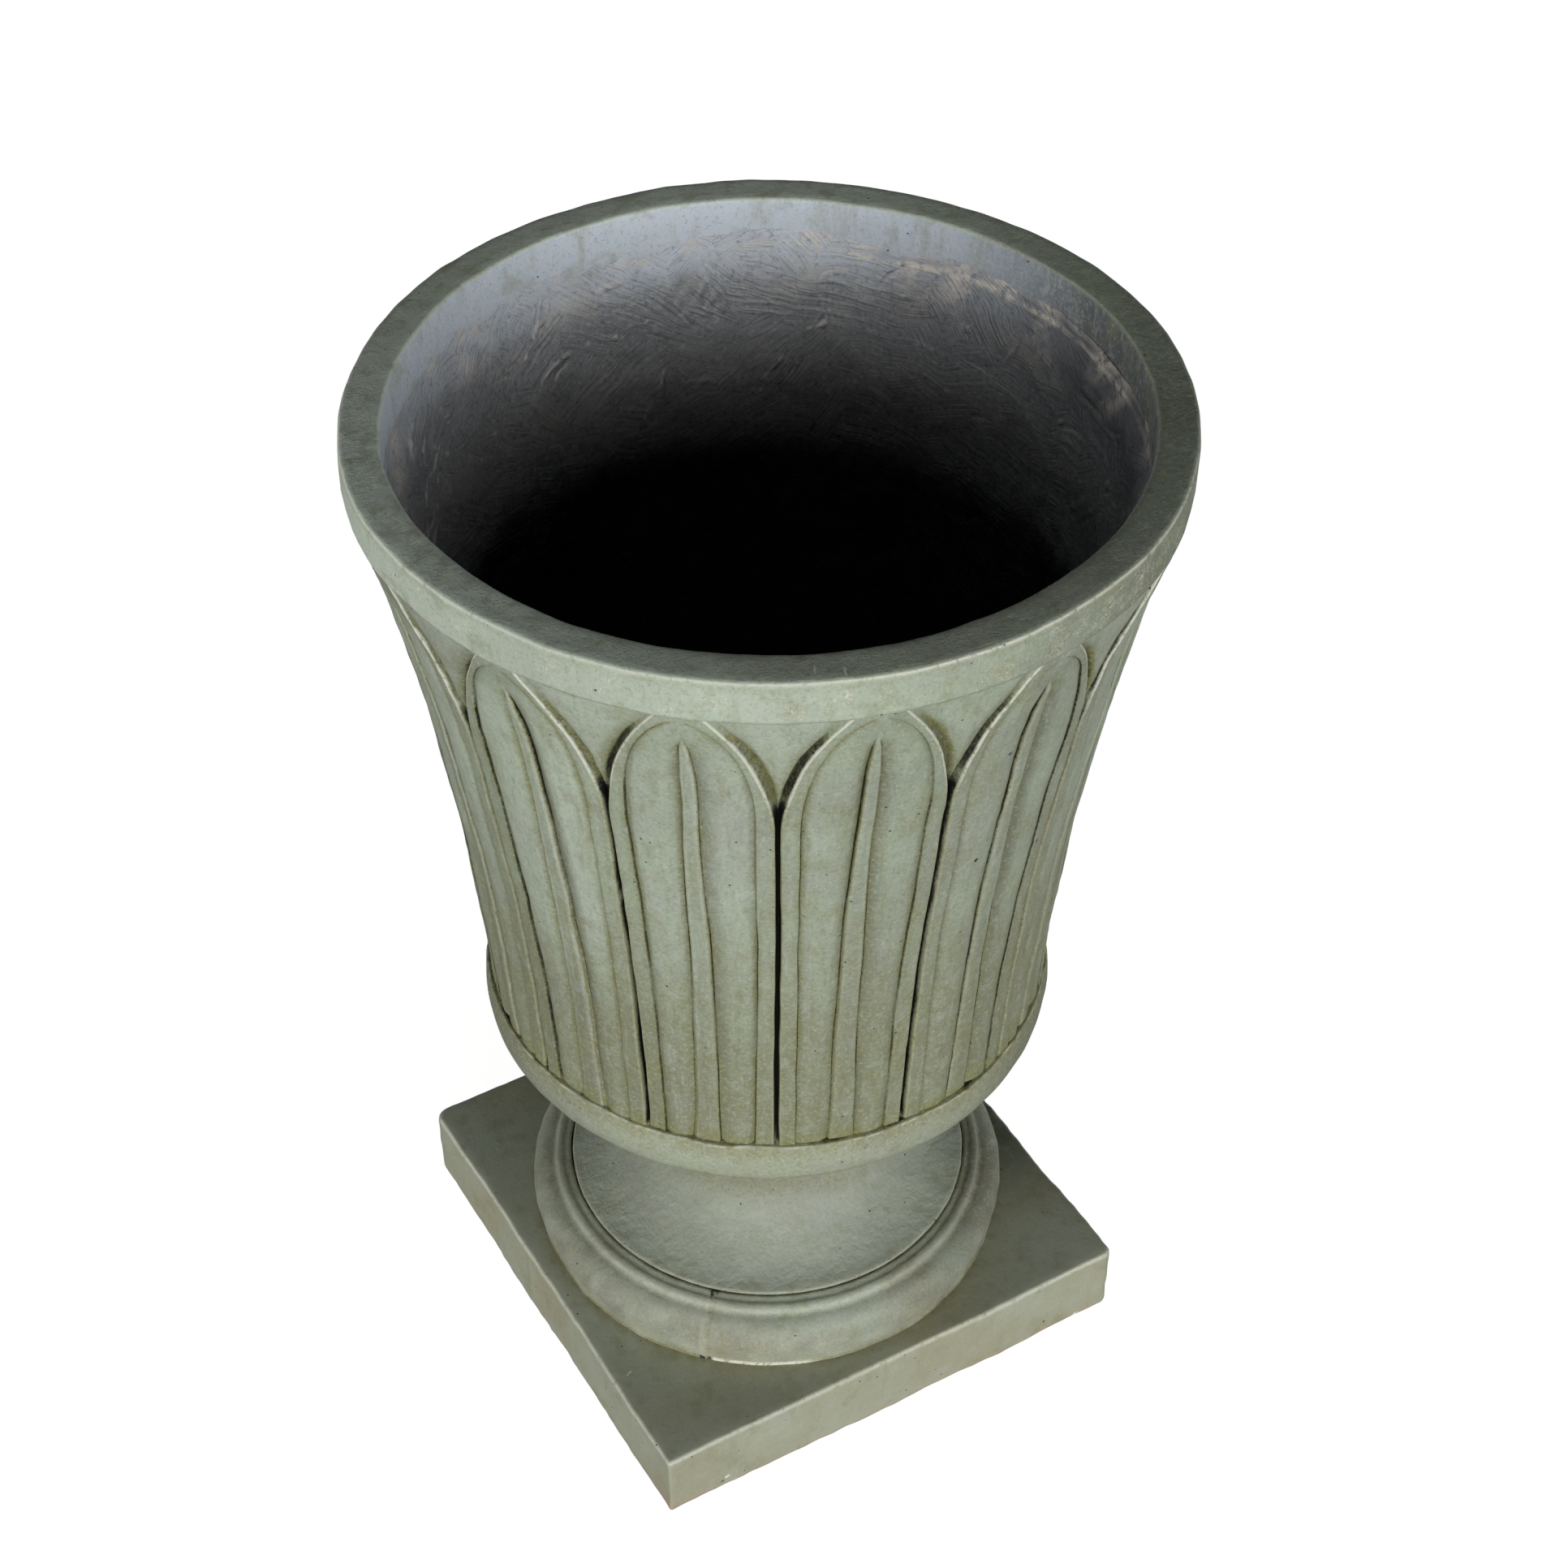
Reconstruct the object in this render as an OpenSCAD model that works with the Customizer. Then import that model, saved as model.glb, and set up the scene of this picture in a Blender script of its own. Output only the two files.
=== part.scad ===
// Footed garden urn planter in cast stone: a flared bowl with a ring of raised lotus leaves, on a hollow
// stem, a moulded foot ring and a square plinth. Millimetres, +Z up, origin at the centre of the plinth's
// underside, plinth sides square to X and Y.

/* [Plinth] */
// Side of the square plinth
plinth_w = 305; // [290:1:340]
// Height of the plinth
plinth_h = 48; // [36:1:70]
// Radius of the plinth's upright corners
plinth_corner_r = 4; // [2:0.5:12]
// Thickness of the plinth's sides round its hollow underside
plinth_wall = 22; // [14:1:30]
// Thickness of the plinth's top above the hollow
plinth_deck = 20; // [12:1:26]
// Radius of the drain way through the plinth's top
drain_way_r = 45; // [20:1:80]

/* [Foot ring] */
// Distance from the plinth's sides to the foot ring at its widest
ring_setback = 10.5; // [4:0.5:16]
// Width of the foot ring
ring_w = 22.7; // [20:0.1:30]
// How far the ring draws in from its widest to the plinth
ring_draw_in = 3.5; // [1:0.5:8]
// Height of the ring's torus above the plinth
ring_torus_h = 33; // [28:0.5:40]
// Radius of the torus's rounded shoulder
ring_shoulder_r = 15.5; // [10:0.5:17]
// Radius of the small bead on the ring's inner edge
ring_bead_r = 4.5; // [3:0.25:6]

/* [Stem] */
// Height of the stem's foot edge above the plinth
stem_foot_h = 40; // [36:0.5:44]
// Radius of the neck at its narrowest
neck_r = 66; // [60:0.5:74]
// Radius of the hollow moulding that sweeps from neck to foot
scotia_r = 62.5; // [58:0.5:66]
// Radius of the collar under the bowl
collar_r = 80; // [77:0.5:86]
// Height of the collar
collar_h = 7; // [4:0.5:12]
// Wall of the hollow stem
stem_wall = 18; // [12:0.5:24]

/* [Bowl] */
// Height of the bowl's underside above the ground
bowl_z = 187; // [184:1:192]
// Height of the rim above the ground
urn_h = 631; // [600:1:680]
// How far the bead under the leaves stands out beyond their feet
bead_stand_out = 3; // [1:0.5:7]
// Height of the bead
bead_h = 26; // [20:1:32]
// Radius of the curve of the bead's face
bead_arc_r = 35; // [20:1:60]
// Height of the leaves' lower ends above the ground
leaf_foot_z = 263; // [258:1:270]
// Radius of the leaves' lower ends
leaf_foot_r = 157; // [145:0.5:165]
// Radius of the leaves' tips, under the rim band
leaf_top_r = 206; // [190:0.5:225]
// Radius of the upright curve of the bowl's side
flare_arc_r = 1940; // [1500:10:3000]
// Radius of the curve of the bowl's underside
under_arc_r = 190; // [170:1:260]
// Wall of the cast shell, behind the leaves' faces
shell_t = 13; // [11:0.5:16]
// Floor of the cast shell
shell_floor_t = 14; // [11:0.5:20]

/* [Rim] */
// How far the rim band stands out beyond the leaves' tips
rim_stand_out = 3; // [2:0.5:6]
// Width of the flat rim
rim_w = 21; // [18:0.5:25]
// Height of the rim band
band_h = 24; // [18:0.5:32]
// Depth of the smooth lip inside the rim
lip_h = 22; // [14:0.5:30]
// Rounding of the rim's outer and inner edges
rim_arris_r = 2; // [1:0.25:4]

/* [Leaves] */
// Number of leaves round the bowl
leaf_count = 14; // [12:1:16]
// Turn of the ring of leaves about the axis, in degrees
leaf_turn = -2.5; // [-12:0.5:12]
// Gap between neighbouring leaves
leaf_gap = 3; // [2:0.5:5]
// Height of the leaves' arched tops, up to the rim band
arch_h = 87; // [67:1:117]
// Half the width of a leaf where it runs under the rim band
leaf_tip_half_w = 11; // [4:0.5:16]
// How far the leaves stand out from the ground, at their feet
relief_low = 5; // [3:0.25:7]
// How far the leaves stand out from the ground, under the rim band
relief_top = 2.5; // [1:0.25:4]
// Width of the raised border along a leaf's edge
border_w = 8.5; // [6:0.5:12]
// Depth of the leaf's two hollowed lobes
lobe_depth = 1.5; // [0.75:0.25:2.5]
// Width of the leaf's middle rib at its foot
rib_w = 13; // [8:0.5:16]
// How far below the rim band the rib runs out to a point
rib_tip_drop = 17; // [7:1:47]

/* [Lining] */
// Thickness of the trowelled lining
lining_t = 6.5; // [4:0.5:9]

/* [Beds] */
// Thickness of the mortar beds
bed_t = 3; // [2:0.5:6]

/* [Drain] */
// Radius of the drain hole in the bowl's floor
drain_r = 12.5; // [9:0.5:18]
// Clearance round the plug in its hole
plug_clearance = 0.3; // [0.2:0.05:0.6]
// How much slimmer the plug is at its lower end
plug_taper = 1.7; // [0.5:0.1:3]
// How far the plug reaches out under the bowl
plug_reach = 3; // [0:0.5:8]
// Width of the plug's flange beyond the hole
plug_flange_w = 7.5; // [4:0.5:12]
// Thickness of the plug's flange
plug_flange_t = 4; // [2:0.5:6]
// Radius of the plug's pull knob
plug_knob_r = 7; // [5:0.5:9]

/* [Hidden] */

// Facets of a full turn, of a small round moulding and of the long upright curves
turn_fn = 180;
small_fn = 64;
long_fn = 1440;
// How far a cutter runs past the face that it opens
past = 1;
// Seam between the foot ring and the stem
ring_seam = 1.3;
// How far the mortar beds stay back from the edges of what they carry
bed_setback = 2;
// How far a leaf's lobes stop above its foot
toe = 3;
// Half the width of a lobed panel where it runs under the rim band
lobe_tip_half_w = 8;
// Part of the knob's radius that its centre stands above the plug's neck
knob_rise = 0.8;
// Radius of the plug's neck as a part of its knob's
knob_neck = 0.6;
// Length of the plug's neck
plug_neck_h = 5;

plinth_in_w = plinth_w - 2 * plinth_wall;
plinth_hollow_h = plinth_h - plinth_deck;

ring_r = plinth_w / 2 - ring_setback;
ring_bore_r = ring_r - ring_w;
stem_foot_r = ring_bore_r - ring_seam;
stem_foot_z = plinth_h + stem_foot_h;
stem_z = plinth_h + bed_t;
stem_top_z = bowl_z - bed_t;
ring_shoulder_z = plinth_h + ring_torus_h - ring_shoulder_r;
ring_bead_x = ring_bore_r + ring_bead_r;
ring_bead_z = plinth_h + ring_torus_h;
// The scotia's lowest point is level with the foot's edge, less what the circle rises from its axis to it
neck_z = stem_foot_z + sqrt(pow(scotia_r, 2) - pow(neck_r + scotia_r - stem_foot_r, 2));
neck_bore_r = neck_r - stem_wall;
stem_bore_r = stem_foot_r - stem_wall;

band_z = urn_h - band_h;
lip_z = urn_h - lip_h;
rim_r = leaf_top_r + rim_stand_out;
lip_r = rim_r - rim_w;
leaf_spring_z = band_z - arch_h;
rib_tip_z = band_z - rib_tip_drop;
bead_r = leaf_foot_r + bead_stand_out;
bead_z = leaf_foot_z - bead_h;
bead_mid_z = bead_z + bead_h / 2;
// Radius of the bead at its lower and upper edges
bead_edge_r = bead_r - bead_arc_r + sqrt(pow(bead_arc_r, 2) - pow(bead_h / 2, 2));
boss_r = collar_r + 2;
boss_h = 3;
lining_in = shell_t + lining_t;
shell_floor_z = bowl_z + shell_floor_t;
floor_z = shell_floor_z + lining_t;

plug_r = drain_r - plug_clearance;
plug_h = floor_z - bowl_z + plug_reach;
plug_flange_r = drain_r + plug_flange_w;

pitch = 360 / leaf_count;

// Centre of the circle of radius r through a and b, on the left of the way from a to b
function arc_centre(a, b, r) =
    let (d = b - a)
    (a + b) / 2 + [-d[1], d[0]] * sqrt(pow(r, 2) - (d * d) / 4) / norm(d);

// Centre of the circle that stands upright at a and goes through b, which lies inward of a
function spring_centre(a, b) =
    [a[0] - (pow(a[0] - b[0], 2) + pow(b[1] - a[1], 2)) / (2 * (a[0] - b[0])), a[1]];

// Upright curves of the leaves' faces and of the ground behind them, both in the plane of radius and height
leaf_foot = [leaf_foot_r, leaf_foot_z];
leaf_top = [leaf_top_r, band_z];
leaf_arc = arc_centre(leaf_top, leaf_foot, flare_arc_r);
ground_arc = arc_centre(leaf_top - [relief_top, 0], leaf_foot - [relief_low, 0], flare_arc_r);
under_arc = arc_centre([boss_r, bowl_z + boss_h], [bead_edge_r, bead_z], under_arc_r);

// Radius of the leaves' faces at a height
function face_r(z) = leaf_arc[0] - sqrt(pow(flare_arc_r, 2) - pow(z - leaf_arc[1], 2));
// Half the width of a leaf at a height below the arch, gap taken off, less a margin
function leaf_half_w(z, margin) = face_r(z) * sin(pitch / 2) - leaf_gap / 2 - margin;
// The same width seen from the gap: how far a leaf's edge, x from its own middle, lies from the gap's middle
function from_gap(x, z) = face_r(z) * sin(pitch / 2 - asin(x / face_r(z)));

// A square with rounded corners, centred
module rounded_square(w, r) {
    square([w - 2 * r, w], center = true);
    square([w, w - 2 * r], center = true);
    for (x = [-1, 1], y = [-1, 1]) {
        translate([x, y] * (w / 2 - r)) circle(r = r, $fn = small_fn);
    }
}

// What a rounded arris of radius r takes off a corner at the origin that points to +X and +Y
module arris(r) {
    difference() {
        translate([-r, -r]) square(r + past);
        translate([-r, -r]) circle(r = r, $fn = small_fn);
    }
}

// Section of all that lies inside an upright curve, from one height to another
module inside_curve(centre, inset, z_low, z_high) {
    difference() {
        translate([0, z_low]) square([rim_r, z_high - z_low]);
        translate(centre) circle(r = flare_arc_r + inset, $fn = long_fn);
    }
}

// Section of the bowl's hollow, this far in from the leaves' faces and the underside
module hollow_section(inset, z_low) {
    inside_curve(leaf_arc, inset, under_arc[1], lip_z);
    intersection() {
        inside_curve(leaf_arc, inset, z_low, under_arc[1]);
        translate(under_arc) circle(r = under_arc_r - inset, $fn = turn_fn);
    }
}

// Section of the whole bowl, faces of the leaves outermost, with nothing taken out
module bowl_section() {
    inside_curve(leaf_arc, 0, bead_mid_z, band_z);
    difference() {
        translate([0, band_z - past]) square([rim_r, band_h + past]);
        translate([rim_r, urn_h]) arris(rim_arris_r);
        translate([leaf_top_r, band_z - 2 * past]) square([rim_w, 2 * past]);
    }
    intersection() {
        translate([0, bead_z]) square([bead_r, bead_h]);
        translate([bead_r - bead_arc_r, bead_mid_z]) circle(r = bead_arc_r, $fn = turn_fn);
    }
    intersection() {
        translate([0, bowl_z + boss_h]) square([bead_r, bead_z - bowl_z - boss_h + past]);
        translate(under_arc) circle(r = under_arc_r, $fn = turn_fn * 2);
        translate([0, bowl_z]) square([bead_edge_r, bead_h + bead_z]);
    }
    translate([0, bowl_z]) square([boss_r, boss_h + past]);
}

// Carries a drawing of width and height out through the bowl's side at an angle round the axis
module outward(angle) {
    rotate([90, 0, angle + 90]) translate([0, 0, bead_r / 2]) linear_extrude(height = rim_r) children();
}

// Outline of the ground that shows at a gap: a slot between two leaves that opens into a spandrel
module gap_outline() {
    side = [from_gap(leaf_half_w(leaf_spring_z, 0), leaf_spring_z), leaf_spring_z];
    top = [from_gap(leaf_tip_half_w, band_z), band_z];
    arc = spring_centre([-side[0], side[1]], [-top[0], top[1]]);
    arc_r = -side[0] - arc[0];
    translate([-leaf_gap / 2, leaf_foot_z]) square([leaf_gap, leaf_spring_z - leaf_foot_z + past]);
    difference() {
        translate([-top[0], leaf_spring_z]) square([2 * top[0], band_z - leaf_spring_z]);
        for (x = [-1, 1]) {
            translate([x * arc[0], arc[1]]) circle(r = arc_r, $fn = turn_fn * 2);
        }
    }
}

// Outline of a leaf's two lobes, inside its border and either side of its rib
module lobe_outline() {
    foot_z = leaf_foot_z + toe;
    foot_w = leaf_half_w(foot_z, border_w);
    side = [leaf_half_w(leaf_spring_z, border_w), leaf_spring_z];
    arc = spring_centre(side, [lobe_tip_half_w, band_z]);
    difference() {
        union() {
            polygon([[-foot_w, foot_z], [foot_w, foot_z], side, [-side[0], side[1]]]);
            intersection() {
                translate([-side[0], leaf_spring_z]) square([2 * side[0], band_z - leaf_spring_z]);
                translate(arc) circle(r = side[0] - arc[0], $fn = turn_fn * 2);
                translate([-arc[0], arc[1]]) circle(r = side[0] - arc[0], $fn = turn_fn * 2);
            }
        }
        polygon([[-rib_w / 2, foot_z - past], [rib_w / 2, foot_z - past], [0, rib_tip_z]]);
    }
}

// All that lies outside an upright curve, as a ring to cut with
module outside_curve(centre, inset) {
    rotate_extrude($fn = turn_fn) difference() {
        translate([0, leaf_foot_z]) square([rim_r + past, band_z - leaf_foot_z]);
        inside_curve(centre, inset, leaf_foot_z - past, band_z + past);
    }
}

module plinth() {
    color("#8f9a87") difference() {
        linear_extrude(height = plinth_h) rounded_square(plinth_w, plinth_corner_r);
        translate([0, 0, -past]) linear_extrude(height = plinth_hollow_h + past)
            rounded_square(plinth_in_w, plinth_corner_r);
        translate([0, 0, -past]) cylinder(r = drain_way_r, h = plinth_h + 2 * past, $fn = turn_fn);
    }
}

module foot_ring() {
    color("#9aa592") rotate_extrude($fn = turn_fn) difference() {
        union() {
            polygon([
                [ring_bore_r - past, plinth_h],
                [ring_r - ring_draw_in, plinth_h],
                [ring_r, ring_shoulder_z],
                [ring_bore_r - past, ring_shoulder_z]
            ]);
            translate([ring_bore_r - past, ring_shoulder_z - past])
                square([ring_r - ring_shoulder_r - ring_bore_r + past, ring_shoulder_r + past]);
            translate([ring_r - ring_shoulder_r, ring_shoulder_z]) circle(r = ring_shoulder_r, $fn = small_fn);
            translate([ring_bead_x, ring_bead_z]) circle(r = ring_bead_r, $fn = small_fn);
        }
        translate([0, plinth_h - past]) square([ring_bore_r, ring_torus_h + ring_bead_r + 2 * past]);
    }
}

// Mortar under the stem's foot, hidden inside the ring
module stem_bed() {
    color("#b9b7a8") translate([0, 0, plinth_h]) difference() {
        cylinder(r = stem_foot_r - bed_setback, h = bed_t, $fn = turn_fn);
        translate([0, 0, -past]) cylinder(r = stem_bore_r + bed_setback, h = bed_t + 2 * past, $fn = turn_fn);
    }
}

module stem() {
    scotia_x = neck_r + scotia_r;
    color("#a1ab99") rotate_extrude($fn = turn_fn) difference() {
        union() {
            difference() {
                translate([0, stem_z]) square([stem_foot_r, stem_top_z - stem_z]);
                translate([scotia_x, neck_z]) circle(r = scotia_r, $fn = turn_fn * 2);
            }
            translate([0, stem_top_z - collar_h]) square([collar_r, collar_h]);
        }
        translate([0, stem_z - past]) square([neck_bore_r, stem_top_z - stem_z + 2 * past]);
        difference() {
            translate([0, stem_z - past]) square([stem_bore_r, neck_z - stem_z + past]);
            translate([scotia_x, neck_z]) circle(r = scotia_r + stem_wall, $fn = turn_fn * 2);
        }
    }
}

// Mortar between the stem's collar and the bowl
module bowl_bed() {
    color("#b9b7a8") translate([0, 0, stem_top_z]) difference() {
        cylinder(r = collar_r - bed_setback, h = bed_t, $fn = turn_fn);
        translate([0, 0, -past]) cylinder(r = neck_bore_r, h = bed_t + 2 * past, $fn = turn_fn);
    }
}

module bowl_shell() {
    color("#a8b2a0") difference() {
        rotate_extrude($fn = turn_fn) difference() {
            bowl_section();
            hollow_section(shell_t, shell_floor_z);
            translate([0, lip_z - past]) square([lip_r, lip_h + 2 * past]);
            translate([lip_r, urn_h]) mirror([1, 0]) arris(rim_arris_r);
            translate([0, bowl_z - past]) square([drain_r, shell_floor_t + 2 * past]);
        }
        intersection() {
            outside_curve(ground_arc, 0);
            for (i = [1:leaf_count]) {
                outward(leaf_turn + (i + 0.5) * pitch) gap_outline();
            }
        }
        intersection() {
            outside_curve(leaf_arc, lobe_depth);
            for (i = [1:leaf_count]) {
                outward(leaf_turn + i * pitch) lobe_outline();
            }
        }
    }
}

// Fibre-reinforced backing coat, trowelled into the shell up to the smooth lip
module bowl_lining() {
    color("#7d8389") rotate_extrude($fn = turn_fn) difference() {
        hollow_section(shell_t, shell_floor_z);
        hollow_section(lining_in, floor_z);
        translate([0, lip_z - past]) square([lip_r, 2 * past]);
        translate([0, shell_floor_z - past]) square([drain_r, lining_t + 2 * past]);
    }
}

// Rubber plug that closes the drain hole from inside and lifts out by its knob
module drain_plug() {
    color("#2b2d2e") translate([0, 0, floor_z]) {
        translate([0, 0, -plug_h]) cylinder(r1 = plug_r - plug_taper, r2 = plug_r, h = plug_h, $fn = small_fn);
        cylinder(r = plug_flange_r, h = plug_flange_t, $fn = small_fn);
        cylinder(r = plug_knob_r * knob_neck, h = plug_flange_t + plug_neck_h, $fn = small_fn);
        translate([0, 0, plug_flange_t + plug_neck_h + plug_knob_r * knob_rise])
            sphere(r = plug_knob_r, $fn = small_fn);
    }
}

plinth();
foot_ring();
stem_bed();
stem();
bowl_bed();
bowl_shell();
bowl_lining();
drain_plug();
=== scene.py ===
import math

import bpy
import numpy as np
from mathutils import Matrix, Vector


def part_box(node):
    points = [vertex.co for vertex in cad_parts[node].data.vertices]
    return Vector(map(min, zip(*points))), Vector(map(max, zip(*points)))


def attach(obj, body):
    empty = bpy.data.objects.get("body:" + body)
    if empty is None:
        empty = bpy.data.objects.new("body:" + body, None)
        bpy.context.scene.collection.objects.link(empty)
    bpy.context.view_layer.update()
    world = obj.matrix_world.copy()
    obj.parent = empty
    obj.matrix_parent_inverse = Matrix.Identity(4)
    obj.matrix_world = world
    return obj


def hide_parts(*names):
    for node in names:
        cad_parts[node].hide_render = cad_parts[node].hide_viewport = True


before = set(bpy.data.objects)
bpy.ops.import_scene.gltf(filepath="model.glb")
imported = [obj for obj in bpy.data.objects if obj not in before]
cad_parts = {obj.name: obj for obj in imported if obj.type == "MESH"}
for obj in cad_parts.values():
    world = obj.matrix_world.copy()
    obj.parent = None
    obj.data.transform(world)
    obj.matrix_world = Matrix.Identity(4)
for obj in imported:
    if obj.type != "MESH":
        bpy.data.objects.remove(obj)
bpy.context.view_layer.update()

# ---- sizes in mm, as in the CAD source; what the frame can tell is read from it

MM = 0.001


def side_mm(node, axis, end):
    return round(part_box(node)[end][axis] / MM, 1)


PLINTH_W = 2 * side_mm("plinth", 0, 1)
PLINTH_H = side_mm("plinth", 2, 1)
PLINTH_WALL = 22
PLINTH_DECK = 20
DRAIN_WAY_R = 45
RING_R = side_mm("foot_ring", 0, 1)
RING_DRAW_IN = 3.5
RING_BORE_R = RING_R - 22.7
RING_BORE_TOP_Z = 66  # the bore is straight up to here, and then closes on the stem
RING_LIP_Z = 86.3
RING_UNDERSIDE_R = 128
SHOULDER_R = 15.5
SHOULDER_Z = PLINTH_H + 33 - SHOULDER_R
RING_BEAD_R = 4.5
STEM_FOOT_R = RING_BORE_R - 1.3
STEM_Z = side_mm("stem", 2, 0)
STEM_TOP_Z = side_mm("stem", 2, 1)
STEM_FOOT_Z = PLINTH_H + 40
STEM_SIDE_Z = 70
NECK_R = 66
SCOTIA_R = 62.5
COLLAR_R = 80
COLLAR_H = 7
STEM_WALL = 18
BOWL_Z = side_mm("bowl_shell", 2, 0)
URN_H = side_mm("bowl_shell", 2, 1)
BAND_Z = URN_H - 24
LIP_Z = URN_H - 22
LEAF_FOOT_Z = 263
LEAF_FOOT_R = 157
LEAF_TOP_R = 206
RIM_R = LEAF_TOP_R + 3
LIP_R = RIM_R - 21
FLARE_R = 1940
BEAD_R = LEAF_FOOT_R + 3
BEAD_H = 26
BEAD_ARC_R = 35
BEAD_Z = LEAF_FOOT_Z - BEAD_H
UNDER_R = 190
BOSS_R = COLLAR_R + 2
BOSS_H = 3
SHELL_T = 13
SHELL_FLOOR_Z = BOWL_Z + 14
LINING_T = 6.5
FLOOR_Z = SHELL_FLOOR_Z + LINING_T
DRAIN_R = 12.5
LEAVES = 14
LEAF_TURN = math.radians(-2.5)
HALF_PITCH = math.pi / LEAVES
LEAF_GAP = 3
SPRING_Z = BAND_Z - 87
TIP_HALF_W = 11
BORDER_W = 8.5
VIEW_AZIMUTH = math.radians(-30.4)


# Smooth step of x from a to b
def ease(a, b, x):
    t = np.clip((x - a) / (b - a), 0, 1)
    return t * t * (3 - 2 * t)


# A bell of height 1 at x = a
def bell(x, a, width):
    return np.exp(-(((x - a) / width) ** 2))


# A value at angles round the axis, from a table of 13, one every 30 degrees with the viewed side in the middle.
# The tables of painted light and shade say how much paler (or darker, below 0) the paint is made on each side,
# for how the light falls there.
def around(angle, table):
    a = np.degrees(np.asarray(angle) - VIEW_AZIMUTH + math.pi / 2)
    return np.interp((a + 180) % 360 - 180, np.arange(-180, 181, 30), table)


# Smooth noise of unit spread in space, made of sine waves with lengths between two limits in mm
class Waves:
    def __init__(self, seed, shortest, longest, count=28):
        rng = np.random.default_rng(seed)
        way = rng.normal(size=(count, 3))
        way /= np.linalg.norm(way, axis=1)[:, None]
        length = shortest * (longest / shortest) ** rng.random(count)
        self.k = way * (2 * math.pi / length)[:, None]
        self.phase = rng.random(count) * 2 * math.pi
        self.scale = math.sqrt(2 / count)

    def __call__(self, p):
        return sum(np.sin(p @ k + phase) for k, phase in zip(self.k, self.phase)) * self.scale


def polar(r, angle, z):
    r, angle, z = np.broadcast_arrays(r, angle, z)
    return np.stack([r * np.cos(angle), r * np.sin(angle), z], axis=-1)


# Centre of the circle of radius r through a and b, on the left of the way from a to b
def arc_centre(a, b, r):
    a, b = np.array(a, float), np.array(b, float)
    d = b - a
    return (a + b) / 2 + np.array([-d[1], d[0]]) * math.sqrt(r * r - d @ d / 4) / np.linalg.norm(d)


# Rings of points of one piece, and what the paint reads at each point. A mark that isn't given is 0.
class Skin:
    def __init__(self, *keys):
        self.rings, self.marks = [], {key: [] for key in keys}

    def add(self, points, **values):
        self.rings.append(points)
        for key, column in self.marks.items():
            column.append(np.broadcast_to(np.asarray(values.get(key, 0.0), float), (len(points),)))


# The skin as a closed mesh that stands for a node: each ring is closed, and the last is joined to the first.
# Where the number of points changes, one is a whole multiple of the other.
def loft(name, skin, node, material):
    counts = [len(ring) for ring in skin.rings]
    starts = np.concatenate([[0], np.cumsum(counts)[:-1]])
    faces = []
    for i in range(len(counts)):
        j = (i + 1) % len(counts)
        a, b, n, m = starts[i], starts[j], counts[i], counts[j]
        if n == m:
            k = np.arange(n)
            q = (k + 1) % n
            faces += np.stack([a + k, a + q, b + q, b + k], axis=1).tolist()
            continue
        flip = n < m
        if flip:
            a, b, n, m = b, a, m, n
        step = n // m
        half = step // 2
        for k in range(m):
            fine = [a + (k * step + s) % n for s in range(step + 1)]
            near, far = b + k, b + (k + 1) % m
            made = [[fine[s], fine[s + 1], near] for s in range(half)]
            made.append([fine[half], far, near])
            made += [[fine[s], fine[s + 1], far] for s in range(half, step)]
            faces += [f[::-1] for f in made] if flip else made
    points = np.concatenate(skin.rings) * MM
    mesh = bpy.data.meshes.new(name)
    mesh.from_pydata(points.tolist(), [], faces)
    mesh.polygons.foreach_set("use_smooth", [True] * len(mesh.polygons))
    for key, column in skin.marks.items():
        layer = mesh.attributes.new(key, "FLOAT", "POINT")
        layer.data.foreach_set("value", np.concatenate(column).astype(np.float32))
    mesh.calc_loop_triangles()
    corners = np.zeros(len(mesh.loop_triangles) * 3, np.int32)
    mesh.loop_triangles.foreach_get("vertices", corners)
    p = points[corners.reshape(-1, 3)]
    inside_out = np.einsum("ij,ij->i", p[:, 0], np.cross(p[:, 1], p[:, 2])).sum() < 0
    if inside_out:
        mesh.flip_normals()
    mesh.update()
    obj = bpy.data.objects.new(name, mesh)
    bpy.context.scene.collection.objects.link(obj)
    mesh.materials.append(material)
    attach(obj, "planter")
    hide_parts(node)


# ---- materials

# Colours as 8-bit sRGB
COLOURS = {
    "pale": (222, 236, 221), "dark": (106, 112, 100), "lip": (184, 194, 205), "lip pale": (212, 222, 233),
    "lip dark": (98, 102, 104), "lip streak": (222, 226, 230), "aged": (143, 145, 114),
    "mottle dark": (146, 146, 108), "mottle pale": (196, 202, 200), "run dark": (122, 124, 96),
    "run pale": (206, 212, 204), "bloom": (205, 210, 200), "sand pale": (218, 216, 190),
    "sand dark": (104, 112, 90), "fleck": (238, 234, 206), "rubbed_highlight": (240, 241, 224), "raw": (196, 164, 146),
    "chip": (240, 238, 232), "nick": (24, 26, 18), "pit": (30, 32, 24), "pepper": (70, 70, 50),
    "dirt": (20, 23, 16), "coat": (206, 213, 222), "coat pale": (220, 230, 242), "coat grey": (158, 161, 165),
    "coat low": (176, 176, 176), "cloud dark": (92, 96, 100), "cloud pale": (216, 210, 202),
    "stroke pale": (240, 232, 222), "stroke dark": (34, 36, 40), "hair pale": (232, 226, 218),
    "hair dark": (50, 52, 56), "grit pale": (226, 222, 216), "grit dark": (60, 62, 66),
    "depth": (16, 16, 17), "depths": (10, 10, 11), "shade": (58, 60, 62), "cream_and_highlight": (236, 226, 212),
}


# A colour for a socket, from its name or its 8-bit sRGB
def linear(colour):
    shares = [v / 255 for v in COLOURS.get(colour, colour)]
    return [x / 12.92 if x <= 0.04045 else ((x + 0.055) / 1.055) ** 2.4 for x in shares] + [1]


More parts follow.
